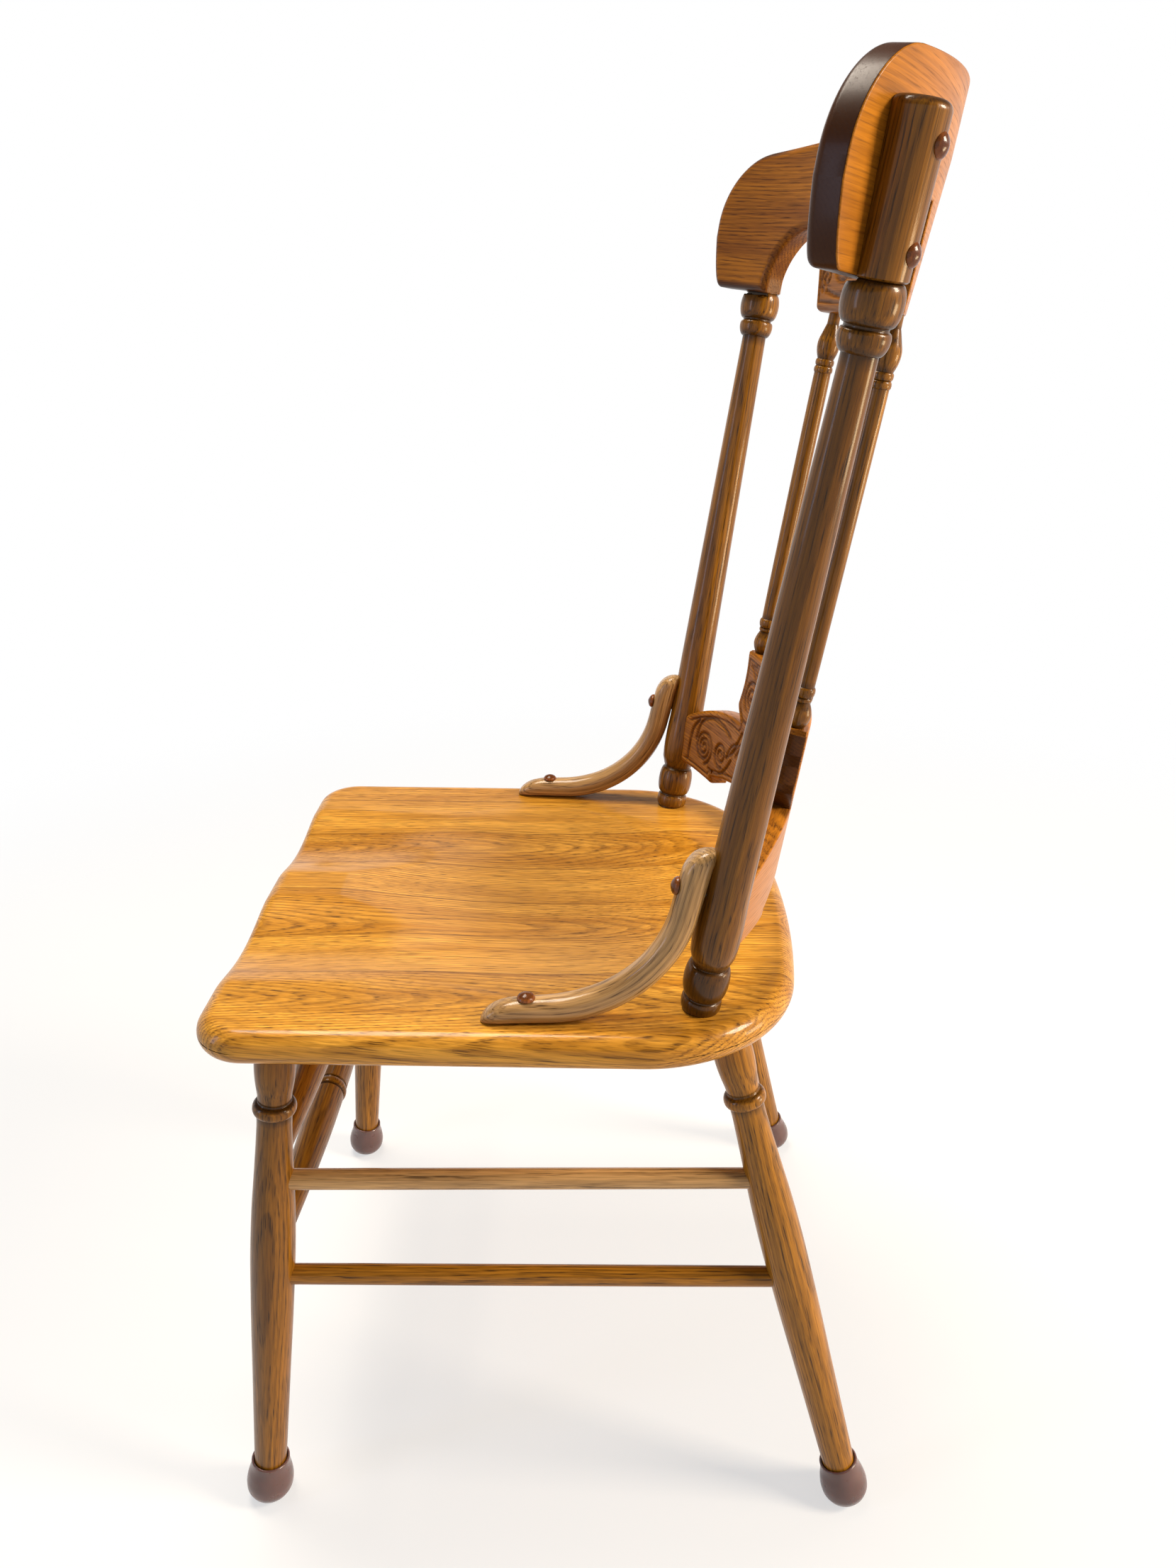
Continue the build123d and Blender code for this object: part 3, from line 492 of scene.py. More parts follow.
for count, (name, (first, first_z, second, second_z, slot)) in enumerate(stretchers.items(), start=1):
    start, end = at_height(first, first_z), at_height(second, second_z)
    length = np.linalg.norm(end - start)
    profile = rung(length) if name.startswith("front") else dowel(length, DOWEL_RADIUS)
    plank = (30.0 + 7 * count, 11.0 * count - 30, 700.0 * count)
    make_piece(name, [turned(start, end, profile, plank, 40)], slot, tone=0.04 * count)

# %% [markdown]
# ## Back posts
# A post rises from a ring and a ball at the seat and tapers over most of its length.
# It ends in a ring, a ball and a lap.
# The lap is a plain round that lies behind the crest rail and is cut to fit its bowed back.
# That cut is made here by pushing the points of the lap back to the cylinder of the crest's rear face.

# %% Posts
CREST_RADIUS, CREST_CENTRE, CREST_THICKNESS = 364.0, -307.85, 20.0
LAP_START, LAP_CUT = 466.0, 461.5
POST_HALF_SPREAD, SPLAY = 175.5, np.radians(5.6)
POST_BASE_TOP, POST_FOOT, POST_AIM = 39.0, -8.0, 560.0


def post_point(rise, side):
    """A point on a post's axis, in the leaning frame, at a distance up from the seat."""
    return np.array([side * (POST_HALF_SPREAD + rise * np.sin(SPLAY)), 0.0, rise * np.cos(SPLAY)])


quarter = np.linspace(0, np.pi / 2, 11)
POST_PROFILE = chain(
    steps([0.0, 8.0], [11.8, 12.3]),
    bead(11.0, 12.3, 12.6, 1.6),
    bead(2.0, 12.6, 12.6, -0.4, 5),
    bead(25.0, 12.6, 12.6, 3.2, 21),
    bead(2.0, 12.6, 12.9, -0.4, 5),
    through([0, 3, 7, 60, 200, 391], [12.9, 14.9, 15.4, 14.9, 12.9, 10.0], 50),
    bead(12.0, 10.2, 12.3, 2.6),
    bead(2.0, 12.3, 12.3, -0.4, 5),
    bead(21.0, 12.3, 12.6, 3.9, 19),
    steps([0.0, 0.6, 1.4], [12.6, 14.6, 15.4]),
    bead(73.0, 15.5, 15.5, 0.0, 40),
    (5.2 * np.sin(quarter), 9.0 + 6.5 * np.cos(quarter)),
)


def behind_crest(local):
    """Pushes points of the lap that lie inside the crest back to its rear face, along its bow's radius."""
    across, depth, rise = np.moveaxis(local, -1, 0)
    reach = np.hypot(across, depth - CREST_CENTRE)
    rear = CREST_RADIUS + CREST_THICKNESS / 2 - 0.4
    grow = np.where((rise > LAP_CUT) & (reach < rear), rear / reach, 1.0)
    return stacked(across * grow, CREST_CENTRE + (depth - CREST_CENTRE) * grow, rise)


# The ball and ring at the foot of each post are darkened with painted shade, the left one most
posts = {
    "back_post_left": (1, (46.0, 20.0, 5000.0), 0.85, 0.45),
    "back_post_right": (-1, (-38.0, 35.0, 6000.0), 0.55, 0.1),
}
for name, (side, plank, tone, base_painted_shade) in posts.items():
    start, end = post_point(POST_FOOT, side), post_point(POST_AIM, side)
    points, grain, mark = turned(start, end, POST_PROFILE, plank, 64)
    # Painted shade: each post is darkened below the top of its base, by the amount given for it
    mark = np.maximum(mark, base_painted_shade * (points[..., 2] < POST_BASE_TOP))
    make_piece(name, [(leaning(behind_crest(points), BACK_LEAN), grain, mark)], "oak_turned", tone)

# %% [markdown]
# ## Spindles
# Five slim spindles stand between the crown of the lower rail and the lobe of the crest.
# Each has a bulb, a ring and a bead at the foot, and a double ring, a bulb and a thin neck at the top.
# The two rails have different bows, so each spindle gets its own foot and head on the middle of its rail.

# %% Spindle turning
RAIL_RADIUS, RAIL_CENTRE, RAIL_THICKNESS = 340.0, -286.3, 19.0
CROWN_TOP, LOBE_BOTTOM = 184.5, 454.0
FOOT_REACH, HEAD_REACH = 92.0, 98.0
FOOT_TENON, HEAD_TENON = 11.0, 5.0
# Length of everything on a spindle but its plain shaft
TURNED_ENDS = 89.0


def spindle_profile(length):
    """Foot bulb, ring, bead, plain shaft, two rings, top bulb and neck, with both ends run into the rails."""
    return chain(
        steps([0.0, 10.0], [3.8, 3.8]),
        steps([0.0, 1.0], [3.8, 5.4]),
        through([0, 4, 9, 15, 19], [5.4, 7.4, 8.5, 7.2, 5.4], 20),
        bead(3.5, 5.4, 5.6, 0.9, 7),
        bead(7.5, 5.6, 6.0, 1.5, 11),
        bead(length - TURNED_ENDS, 6.0, 6.4, 0.3, 30),
        bead(5.0, 6.2, 6.0, 1.1, 9),
        bead(5.0, 6.0, 6.2, 1.1, 9),
        through([0, 5, 12, 19, 25], [6.2, 7.9, 8.5, 6.6, 4.7], 22),
        steps([0.0, 3.0, 13.0], [4.6, 4.5, 4.3]),
    )


def on_bow(x, radius, centre, rise):
    """A point on the middle of a bowed board, in the leaning frame."""
    return np.array([x, centre + circle(radius, x), rise])


for count, x in enumerate(np.linspace(-FOOT_REACH, FOOT_REACH, 5), start=1):
    foot = on_bow(x, RAIL_RADIUS, RAIL_CENTRE, CROWN_TOP)
    head = on_bow(x * HEAD_REACH / FOOT_REACH, CREST_RADIUS, CREST_CENTRE, LOBE_BOTTOM)
    way = unit(head - foot)
    start, end = foot - FOOT_TENON * way, head + HEAD_TENON * way
    plank = (24.0 + 5 * count, 16.0, 800.0 * count)
    points, grain, mark = turned(start, end, spindle_profile(np.linalg.norm(end - start)), plank, 32)
    make_piece(f"spindle_{count}", [(leaning(points, BACK_LEAN), grain, mark)], "oak_turned", tone=0.55)

# %% [markdown]
# ## Bowed boards with pressed ornament
# The crest and the lower rail are thin boards, bent to a circle and cut to a scrolled outline.
# A sheet of points in (length along the bow, height) is laid on the circle once for each face.
# The distance of each point from the outline rounds the edges. The distance from drawn curves presses
# the ornament, and the same depth marks where dark stain stays.

# %% Distances to drawn lines
def closed_line(*runs):
    """Runs of points set end to end and closed at the first point."""
    line = np.concatenate(runs)
    return np.concatenate([line, line[:1]])


def distance(points, line):
    """Shortest distance from each point (across, height) to a line of short straight steps."""
    begin, step = line[:-1], np.diff(line, axis=0)
    size = np.maximum((step ** 2).sum(-1), 1e-9)
    flat = points.reshape(-1, 2)
    found = []
    for block in np.array_split(flat, max(1, len(flat) // 1500)):
        away = block[:, None] - begin
        share = held((away * step).sum(-1) / size)
        found.append(np.sqrt(((away - share[..., None] * step) ** 2).sum(-1).min(1)))
    return np.concatenate(found).reshape(points.shape[:-1])


def pressed(points, lines, width, depth):
    """Depth of V lines with round bottoms: greatest on the line and fading over the width to each side."""
    apart = np.min([distance(points, line) for line in lines], axis=0)
    return depth * np.exp(-(apart / width) ** 2)


def spiral(centre, first, last, start, turns, hand=1, count=90):
    """A scroll: the radius grows evenly from first to last while the angle runs through the turns."""
    t = np.linspace(0, 1, count)
    angle = np.radians(start) + hand * 2 * np.pi * turns * t
    reach = first + (last - first) * t
    return stacked(centre[0] + reach * np.cos(angle), centre[1] + reach * np.sin(angle))


def sweep(*points, count=50):
    """A smooth curve through a few points, spaced by their straight distance."""
    points = np.array(points, float)
    at = np.concatenate([[0], np.cumsum(np.hypot(*np.diff(points, axis=0).T))])
    return stacked(*[through(at, points[:, i], count)[1] for i in (0, 1)])


def dense_ends(count, power=1.7):
    """Numbers from 0 to 1 that crowd at both ends, where the edges are rounded."""
    t = np.linspace(-1, 1, count)
    return 0.5 + 0.5 * np.sign(t) * (1 - (1 - np.abs(t)) ** power)


# %% Laying a board on its bow
BACK_EDGE_ROUND = 1.2


def fall(edge, radius):
    """Drop of a round edge: the whole radius at the outline, and none where the edge is a radius away."""
    return radius - circle(radius, radius - np.minimum(edge, radius))


def bowed(along, rise, depth, radius, centre, reach):
    """Points at a reach from the bow's axis, turned about it by the length along the bow over its radius."""
    turn = along / radius
    local = stacked(reach * np.sin(turn), centre + reach * np.cos(turn), rise)
    grain = stacked(depth, rise, along)
    return leaning(local, BACK_LEAN), grain


def board_sheets(along, rise, edge, press, size, plank, front_round, edge_stain_and_shade, dark_edge_width=4.0, thinner=0.0):
    """Two sheets of points, a board's front and back: the edge rounds both and the press sinks the front.

    The cut edges darken over the dark edge width, partly as end grain that takes more stain and partly as
    painted shade. The back is wiped paler.
    """
    radius, centre, thickness = size
    front = radius - thickness / 2 + fall(edge, front_round) + press
    back = radius + thickness / 2 - fall(edge, BACK_EDGE_ROUND) - thinner
    # Darker cut edges: partly stain in the end grain, partly painted shade
    dark_edge = held(1.4 - edge / dark_edge_width) * edge_stain_and_shade
    mark = np.maximum(np.clip(press / 1.5, 0.1, 0.5), dark_edge)
    sheets = []
    for reach, marks in ((front, mark), (back, np.where(edge < 0.1, mark, -0.4))):
        points, grain = bowed(along, rise, reach - radius, radius, centre, reach)
        sheets.append(patch(points, grain + np.array(plank), marks))
    return sheets


def walls(front, back, *picks):
    """Edge strips between the picked rows or columns of the front and back sheets, with the front's stain."""
    return [(np.stack([front[0][pick], back[0][pick]]), np.stack([front[1][pick], back[1][pick]]),
             np.stack([front[2][pick], front[2][pick]])) for pick in picks]


# %% [markdown]
# ## Crest rail
# The crest has a low arch on top, round shoulders, two ears that lap on the posts, coves
# and a lobe for the spindles.
# Its ears are plain, with the grain along the board. The lobe carries pressed scrolls round a small fan.
# Upper and lower edges are each one height for every place along the bow, so the board is one grid.

# %% Crest outline
CREST_END, EAR_INNER, LOBE_HALF = 271.3, 199.0, 118.0
CREST_RISE, CREST_ARCH, CREST_ROUND = 581.0, 3500.0, 56.0
COVE_MIDDLE, COVE_RADIUS, COVE_CENTRE = 152.0, 47.0, 465.0
EAR_BOTTOM, EAR_CURL, EAR_LIFT = 464.0, 257.0, 38.0
LOBE_EASE, SIDE_SLOPE, SIDE_END = 3.0, 3.3, 134.7
ARCH_OVERRUN, ROUND_DIP = 7.5, 0.6
CREST_SIZE = (CREST_RADIUS, CREST_CENTRE, CREST_THICKNESS)
CREST_PLANK = (70.0, -430.0, 300.0)
CREST_EDGE_ROUND = 6.5


def crest_top(s):
    """Low arch, then a quarter round of 56 mm down to the ear."""
    s = np.abs(s)
    centre = CREST_END - CREST_ROUND
    low = CREST_RISE - centre ** 2 / CREST_ARCH - CREST_ROUND - ROUND_DIP
    round_part = low + circle(CREST_ROUND, s - centre)
    return np.where(s < centre + ARCH_OVERRUN, CREST_RISE - s ** 2 / CREST_ARCH, round_part)


def crest_bottom(s):
    """Lobe, steep side, cove of 47 mm radius and the ear's foot, which rises to the end in a long curve."""
    s = np.abs(s)
    lobe = LOBE_BOTTOM + LOBE_EASE * held((s - LOBE_HALF + LOBE_EASE) / LOBE_EASE) ** 2
    side = LOBE_BOTTOM + LOBE_EASE + (s - LOBE_HALF) * SIDE_SLOPE
    cove = COVE_CENTRE + circle(COVE_RADIUS, s - COVE_MIDDLE)
    ear = EAR_BOTTOM + held((s - EAR_CURL) / (CREST_END - EAR_CURL)) ** 2.2 * EAR_LIFT
    return np.select([s < LOBE_HALF, s < SIDE_END, s < COVE_MIDDLE, s < EAR_INNER],
                     [lobe, side, COVE_CENTRE + COVE_RADIUS, cove], ear)


half = np.unique(np.concatenate([
    np.linspace(0, LOBE_HALF, 108), np.linspace(LOBE_HALF, 136, 14), np.linspace(136, 190, 26),
    np.linspace(190, EAR_INNER, 14), [EAR_INNER + 0.001], np.linspace(EAR_INNER + 0.5, 255, 26),
    CREST_END - 16.3 * np.linspace(1, 0, 22) ** 1.8]))
crest_s = np.concatenate([-half[:0:-1], half])
crest_low = crest_bottom(crest_s)
crest_high = np.maximum(crest_top(crest_s), crest_low + 0.5)
fractions = dense_ends(100)
s_grid = np.repeat(crest_s[:, None], len(fractions), 1)
w_grid = crest_low[:, None] + (crest_high - crest_low)[:, None] * fractions[None]
crest_outline = closed_line(stacked(crest_s, crest_low), stacked(crest_s, crest_high)[::-1])
print("crest", crest_s.size, "columns, height", round(float(crest_high.max() - crest_low.min()), 1), "mm")

# %% Crest ornament
FAN_CENTRE, FAN_INNER, FAN_OUTER, FAN_SLOPE = 466.0, 10.0, 52.0, 0.45
ORNAMENT_END, ORNAMENT_FADE, EAR_ZONE = 138.0, 8.0, 185.0
PLANED, PLANED_TOP, PLANED_RUN = 5.0, 540.0, 86.0
crest_points = stacked(np.abs(s_grid), w_grid)
crest_edge = distance(stacked(s_grid, w_grid), crest_outline)
lobe_zone = held((ORNAMENT_END - np.abs(s_grid)) / ORNAMENT_FADE)
scrolls = [
    spiral((78.0, 492.0), 2.5, 19.0, 40, 2.1),
    spiral((34.0, 476.0), 2.0, 11.0, 200, 1.6, -1),
    spiral((106.0, 478.0), 1.5, 9.0, 100, 1.5, -1),
    sweep((97, 492), (104, 510), (96, 528), (74, 534), (50, 522), (40, 502)),
    sweep((46, 476), (60, 468), (84, 466), (102, 469)),
    sweep((20, 488), (30, 506), (32, 526), (18, 542), (0, 546)),
    sweep((60, 540), (44, 546), (26, 554), (0, 557)),
]
leaves = [
    sweep((40 + 9 * k, 512 + 3 * k), (47 + 9 * k, 520 + 2 * k), (57 + 8 * k, 524 + k)) for k in range(4)]
fan_angle = np.arctan2(w_grid - FAN_CENTRE, s_grid)
fan_reach = np.hypot(s_grid, w_grid - FAN_CENTRE)
in_fan = (fan_reach > FAN_INNER) & (fan_reach < FAN_OUTER)
in_fan &= (fan_angle > FAN_SLOPE) & (fan_angle < np.pi - FAN_SLOPE)
fan = in_fan * 0.9 * (0.5 - 0.5 * np.cos(fan_angle * 18)) * held((FAN_OUTER - fan_reach) / 6)
border = 1.1 * np.exp(-((crest_edge - 7.0) / 1.1) ** 2) * held((505 - w_grid) / 10)
crest_press = lobe_zone * np.clip(
    pressed(crest_points, scrolls, 1.5, 1.5) + pressed(crest_points, leaves, 1.2, 1.0) + fan + border, 0, 1.9)
crest_press *= held((crest_edge - 3.0) / 2.0)
# The back of the lobe is planed thinner towards its lower edge, and the end edges are darkened, partly as
# stain in the end grain and partly as painted shade
planed = PLANED * held((PLANED_TOP - w_grid) / PLANED_RUN) * held((EAR_ZONE - np.abs(s_grid)) / 35)
ends = held((np.abs(s_grid) - EAR_ZONE) / 30)
front, back = board_sheets(
    s_grid, w_grid, crest_edge, crest_press, CREST_SIZE, CREST_PLANK, CREST_EDGE_ROUND, ends, thinner=planed)
crest_walls = walls(front, back, np.s_[:, 0], np.s_[:, -1], np.s_[0], np.s_[-1])
make_piece("crest_rail", [front, back, *crest_walls], "oak_pressed", crease=50)

# %% [markdown]
# ## Lower rail
# The lower rail has two scrolled shoulders at the posts and a raised crown that carries the spindles.
# The crown overhangs its waist, so the board is made of two grids that meet at the height of the shoulders:
# columns below, and rows of changing width above.

# %% Rail outline
SHOULDER, WAIST = 121.0, 89.0
FOOT_STEP, FOOT_LEVEL, ARCH_LEVEL, ARCH_RISE = 123.5, 50.0, 56.0, 20.0
SHOULDER_START, SHOULDER_RUN, SHOULDER_FALL = 95.0, 88.0, 25.0
BULGE_RISE, TAPER_RUN = 17.0, 46.5


def rail_bottom(s):
    """A flat foot at each post, a small step and a low arch between."""
    s = np.abs(s)
    return np.where(s > FOOT_STEP, FOOT_LEVEL, ARCH_LEVEL + ARCH_RISE * (1 - (s / FOOT_STEP) ** 2))


def rail_shoulder(s):
    """A round shoulder that falls from the crown to the post."""
    gone = held((np.abs(s) - SHOULDER_START) / SHOULDER_RUN)
    return SHOULDER - SHOULDER_FALL * gone ** 2.2 - 1.5 * gone


def crown_side(w):
    """Half width of the crown: a waist at the shoulder, a bulge above it and a slight taper to the top."""
    rise = held((w - SHOULDER) / BULGE_RISE)
    high = held((w - SHOULDER - BULGE_RISE) / TAPER_RUN)
    return WAIST + 11.5 * np.sin(rise * np.pi / 2) ** 1.5 - 3.5 * np.sin(high * np.pi) + 0.5 * high


share = np.linspace(-1, 1, 141)
outer = np.unique(np.concatenate([
    np.linspace(WAIST, FOOT_STEP, 30), [FOOT_STEP + 0.001], np.linspace(124, 184.0, 58)]))
rail_s = np.concatenate([-outer[::-1], share[1:-1] * WAIST, outer])
rail_low, rail_high = rail_bottom(rail_s), rail_shoulder(rail_s)
rows = dense_ends(66, 1.4)
body_s = np.repeat(rail_s[:, None], rows.size, 1)
body_w = rail_low[:, None] + (rail_high - rail_low)[:, None] * rows[None]
crown_w = SHOULDER + (CROWN_TOP - SHOULDER) * (1 - (1 - np.linspace(0, 1, 64)) ** 1.4)
crown_s = share[:, None] * crown_side(crown_w)[None]
crown_w = np.repeat(crown_w[None], share.size, 0)
left_top, right_top = rail_s <= -WAIST, rail_s >= WAIST
crown, shoulders = stacked(crown_s, crown_w), stacked(rail_s, rail_high)
rail_outline = closed_line(stacked(rail_s, rail_low), shoulders[right_top][::-1], crown[-1], crown[::-1, -1],
                           crown[0, ::-1], shoulders[left_top][::-1])
print("rail", rail_s.size, "columns and a crown of", share.size, "by", crown_w.shape[1])

# %% Rail ornament
FLUTE_CENTRE, FLUTE_INNER, FLUTE_OUTER = 104.0, 16.0, 70.0
RAIL_SIZE = (RAIL_RADIUS, RAIL_CENTRE, RAIL_THICKNESS)
RAIL_PLANK = (55.0, 40.0, 2100.0)
RAIL_EDGE_ROUND, RAIL_DARK_EDGE = 4.0, 0.3
rail_scrolls = [
    spiral((145.0, 77.0), 2.0, 15.5, 30, 2.6),
    spiral((113.0, 82.0), 2.0, 12.0, 170, 1.8, -1),
    sweep((160, 80), (156, 97), (140, 107), (118, 108), (100, 104)),
    sweep((130, 62), (120, 60), (108, 66), (98, 74), (90, 86)),
    sweep((101, 84), (92, 92), (84, 104), (78, 116)),
    sweep((168.5, 56), (169, 72), (167, 88), (160, 98)),
    spiral((74.0, 150.0), 2.0, 15.0, 300, 2.0, -1),
    sweep((62, 138), (70, 128), (82, 126), (92, 132)),
]
rail_leaves = [
    sweep((100 - 9 * k, 88 + 2 * k), (93 - 9 * k, 98 + 2 * k), (84 - 8 * k, 104 + 2 * k)) for k in range(5)]
rail_leaves += [sweep((62 + 6 * k, 168 - k), (68 + 6 * k, 174 - k), (78 + 4 * k, 177 - k)) for k in range(3)]


def rail_press(s, w):
    """Distance from the outline, and the pressed depth: scrolls, leaves, a fan of flutes and a border."""
    points = stacked(np.abs(s), w)
    edge = distance(stacked(s, w), rail_outline)
    angle = np.arctan2(w - FLUTE_CENTRE, s)
    reach = np.hypot(s, w - FLUTE_CENTRE)
    fluted = (reach > FLUTE_INNER) & (reach < FLUTE_OUTER) & (np.abs(s) < 60)
    flutes = fluted * 1.1 * (0.5 - 0.5 * np.cos(angle * 22))
    flutes *= held((FLUTE_OUTER - reach) / 8) * held((w - FLUTE_CENTRE) / 10)
    border = np.exp(-(edge - 6.0) ** 2) * held((176 - np.abs(s)) / 4)
    depth = pressed(points, rail_scrolls, 1.5, 1.6) + pressed(points, rail_leaves, 1.2, 1.1) + flutes + border
    return edge, np.clip(depth, 0, 2.0) * held((edge - 2.5) / 2.0)


def rail_sheets(s, w, stain_and_shade):
    """Front and back of one of the rail's two grids."""
    return board_sheets(s, w, *rail_press(s, w), RAIL_SIZE, RAIL_PLANK, RAIL_EDGE_ROUND, stain_and_shade, RAIL_DARK_EDGE)


# The crown's side walls and the middle of the lower edge darken at their cut edges, partly as stain in the
# end grain and partly as painted shade
body = rail_sheets(body_s, body_w, 0.7 * (np.abs(body_s) < 80))
raised = rail_sheets(crown_s, crown_w, 0.8 * (crown_w < 180))
body_walls = walls(*body, np.s_[:, 0], np.s_[0], np.s_[-1], np.s_[left_top, -1], np.s_[right_top, -1])
raised_walls = walls(*raised, np.s_[0], np.s_[-1], np.s_[:, -1])
make_piece("lower_rail", [*body, *raised, *body_walls, *raised_walls], "oak_pressed", tone=0.25, crease=50)

# %% [markdown]
# ## Saddled seat
# The seat is glued up from seven boards that run from front to back, each a piece with its own figure.
# The top is a height over (across, depth): a shallow bowl and two thigh hollows, open at the front edge.
# The distance to the outline turns top and underside into a full round edge, thin where the hollows run out.

# %% Seat outline and saddle
SEAT_HALF, FRONT_LINE, FRONT_CORNER = 220.0, -310.0, 36.0
BACK_ARC, BACK_ARC_CENTRE, BACK_ARC_HALF = 784.0, -699.5, 121.1
BACK_CORNER, BACK_LINE = 117.0, -40.5
BOWL_DEPTH, BOWL_RADIUS, BOWL_CENTRE = 12.0, 165.0, -118.0
THIGH_DEPTH, THIGH_HALF_SPREAD, THIGH_HALF_WIDTH = 12.0, 86.0, 66.0
THIGH_START, THIGH_RUN = 56.0, 290.0


def seat_front(x):
    """Straight front with corners of 36 mm radius."""
    past = np.maximum(np.abs(x) - SEAT_HALF + FRONT_CORNER, 0)
    return FRONT_LINE - circle(FRONT_CORNER, past)


def seat_back(x):
    """Shallow arc of 784 mm radius, then wide corners of 117 mm radius."""
    x = np.abs(x)
    corner = BACK_LINE + circle(BACK_CORNER, x - SEAT_HALF + BACK_CORNER)
    return np.where(x < BACK_ARC_HALF, BACK_ARC_CENTRE + circle(BACK_ARC, x), corner)


def saddle(x, y):
    """Depth of the hollows: a round bowl and two thigh hollows, blended where they meet."""
    bowl = BOWL_DEPTH * held(1 - (x ** 2 + (y - BOWL_CENTRE) ** 2) / BOWL_RADIUS ** 2) ** 1.25
    way = held((-y - THIGH_START) / THIGH_RUN)
    beside = (np.abs(x) - THIGH_HALF_SPREAD) / THIGH_HALF_WIDTH
    thigh = THIGH_DEPTH * way ** 1.2 * held(1 - beside ** 2) ** 1.5
    return (bowl ** 3 + thigh ** 3) ** (1 / 3)


rim = 6 * np.linspace(0, 1, 12) ** 2
across = np.concatenate([-SEAT_HALF + rim, np.linspace(-213, 213, 300), SEAT_HALF - rim[::-1]])
seat_outline = closed_line(stacked(across, seat_front(across)), stacked(across, seat_back(across))[::-1])
# Each board: its left seam, its tone, its place beside the pith, its depth above it and its slope along it,
# which opens the rings into arches
boards = [
    (-SEAT_HALF, 0.62, 30, 25, 0.05),
    (-174.0, 0.30, -75, 22, 0.02),
    (-113.0, 0.72, 6, 34, 0.07),
    (-52.0, 0.36, 60, 28, 0.03),
    (9.0, 0.58, -14, 31, 0.06),
    (70.0, 0.22, 85, 24, 0.02),
    (131.0, 0.40, 4, 30, 0.09),
]
seams = [board[0] for board in boards] + [SEAT_HALF]
print("seat", len(boards), "boards, outline of", len(seat_outline), "points")

# %% Seat boards
GLUE_MARK = 0.4
front_to_back = dense_ends(150, 2.4)
even = np.linspace(0, 1, 44)
# The columns of the two outer boards crowd at the round edge
crowded = {1: even ** 2, len(boards): 1 - even[::-1] ** 2}
for number, (left, tone, beside, above, slope) in enumerate(boards, start=1):
    right = seams[number]
    x = left + (right - left) * crowded.get(number, even)
    low, high = seat_front(x), seat_back(x)
    x_grid = np.repeat(x[:, None], front_to_back.size, 1)
    y_grid = low[:, None] + (high - low)[:, None] * front_to_back[None]
    hollow = saddle(x_grid, y_grid)
    drop = fall(distance(stacked(x_grid, y_grid), seat_outline), (SEAT_THICKNESS - hollow) / 2)
    # A thin dark line of glue shows where two boards meet
    glue = np.zeros_like(x_grid)
    glue[0], glue[-1] = GLUE_MARK * (number > 1), GLUE_MARK * (number < len(boards))
    sheets = []
    for z_grid in (-hollow - drop, -SEAT_THICKNESS + drop):
        height = z_grid + above + slope * (y_grid + 150)
        grain = stacked(x_grid - (left + right) / 2 + beside, height, y_grid + 500 * number)
        sheets.append(patch(leaning(stacked(x_grid, y_grid, z_grid), SEAT_TILT), grain, glue))
    sides = walls(*sheets, np.s_[0], np.s_[-1])
    make_piece(f"seat_board_{number}", [*sheets, *sides], "oak_seat", tone, crease=60)

# %% [markdown]
# ## Bent braces
# A brace lies on the seat in front and curves up against the post, with a round section and tapered ends.
# The line down its middle is a straight run, an arc of 92 mm radius and a second straight run.
# A rounded rectangle is carried along that line; at the nose and at the top it gets thinner and narrower.

# %% Brace line
BRACE_WIDTH, BRACE_THICK, BRACE_BEND, BRACE_CORNER = 20.0, 19.0, 92.0, 8.5
BRACE_NOSE, BRACE_TOP, BRACE_CONTACT, POST_FRONT = -169.5, 13.0, 118.0, 13.2
# Lengths over which the width and the thickness grow from nothing, at the nose and at the top
WIDTH_EASE, THICK_EASE = (17.0, 10.0), (26.0, 21.0)
TOE_OUT, SLOPE = np.radians(3.0), np.tan(np.radians(14.0))
FALL = np.tan(SEAT_TILT) * np.cos(TOE_OUT)
REARWARD = np.array([-np.sin(TOE_OUT), np.cos(TOE_OUT), 0])
SIDEWAYS = np.array([np.cos(TOE_OUT), np.sin(TOE_OUT), 0])
contact = leaning(post_point(BRACE_CONTACT, 1), BACK_LEAN)
brace_origin = np.array([contact[0], contact[1], SEAT_HEIGHT - np.tan(SEAT_TILT) * (contact[1] - SHIFT)])
contact_rise = contact[2] - brace_origin[2]


def foot_line(a, height):
    """Height above the brace's origin of a line over the seat, at the distance a behind the origin."""
    return np.array([a, height * np.hypot(1, FALL) - FALL * a])


def post_line(rise, gap):
    """A point of the leaning line in front of the post, at a height above the brace's origin."""
    return np.array([SLOPE * (rise - contact_rise) - gap * np.hypot(1, SLOPE), rise])


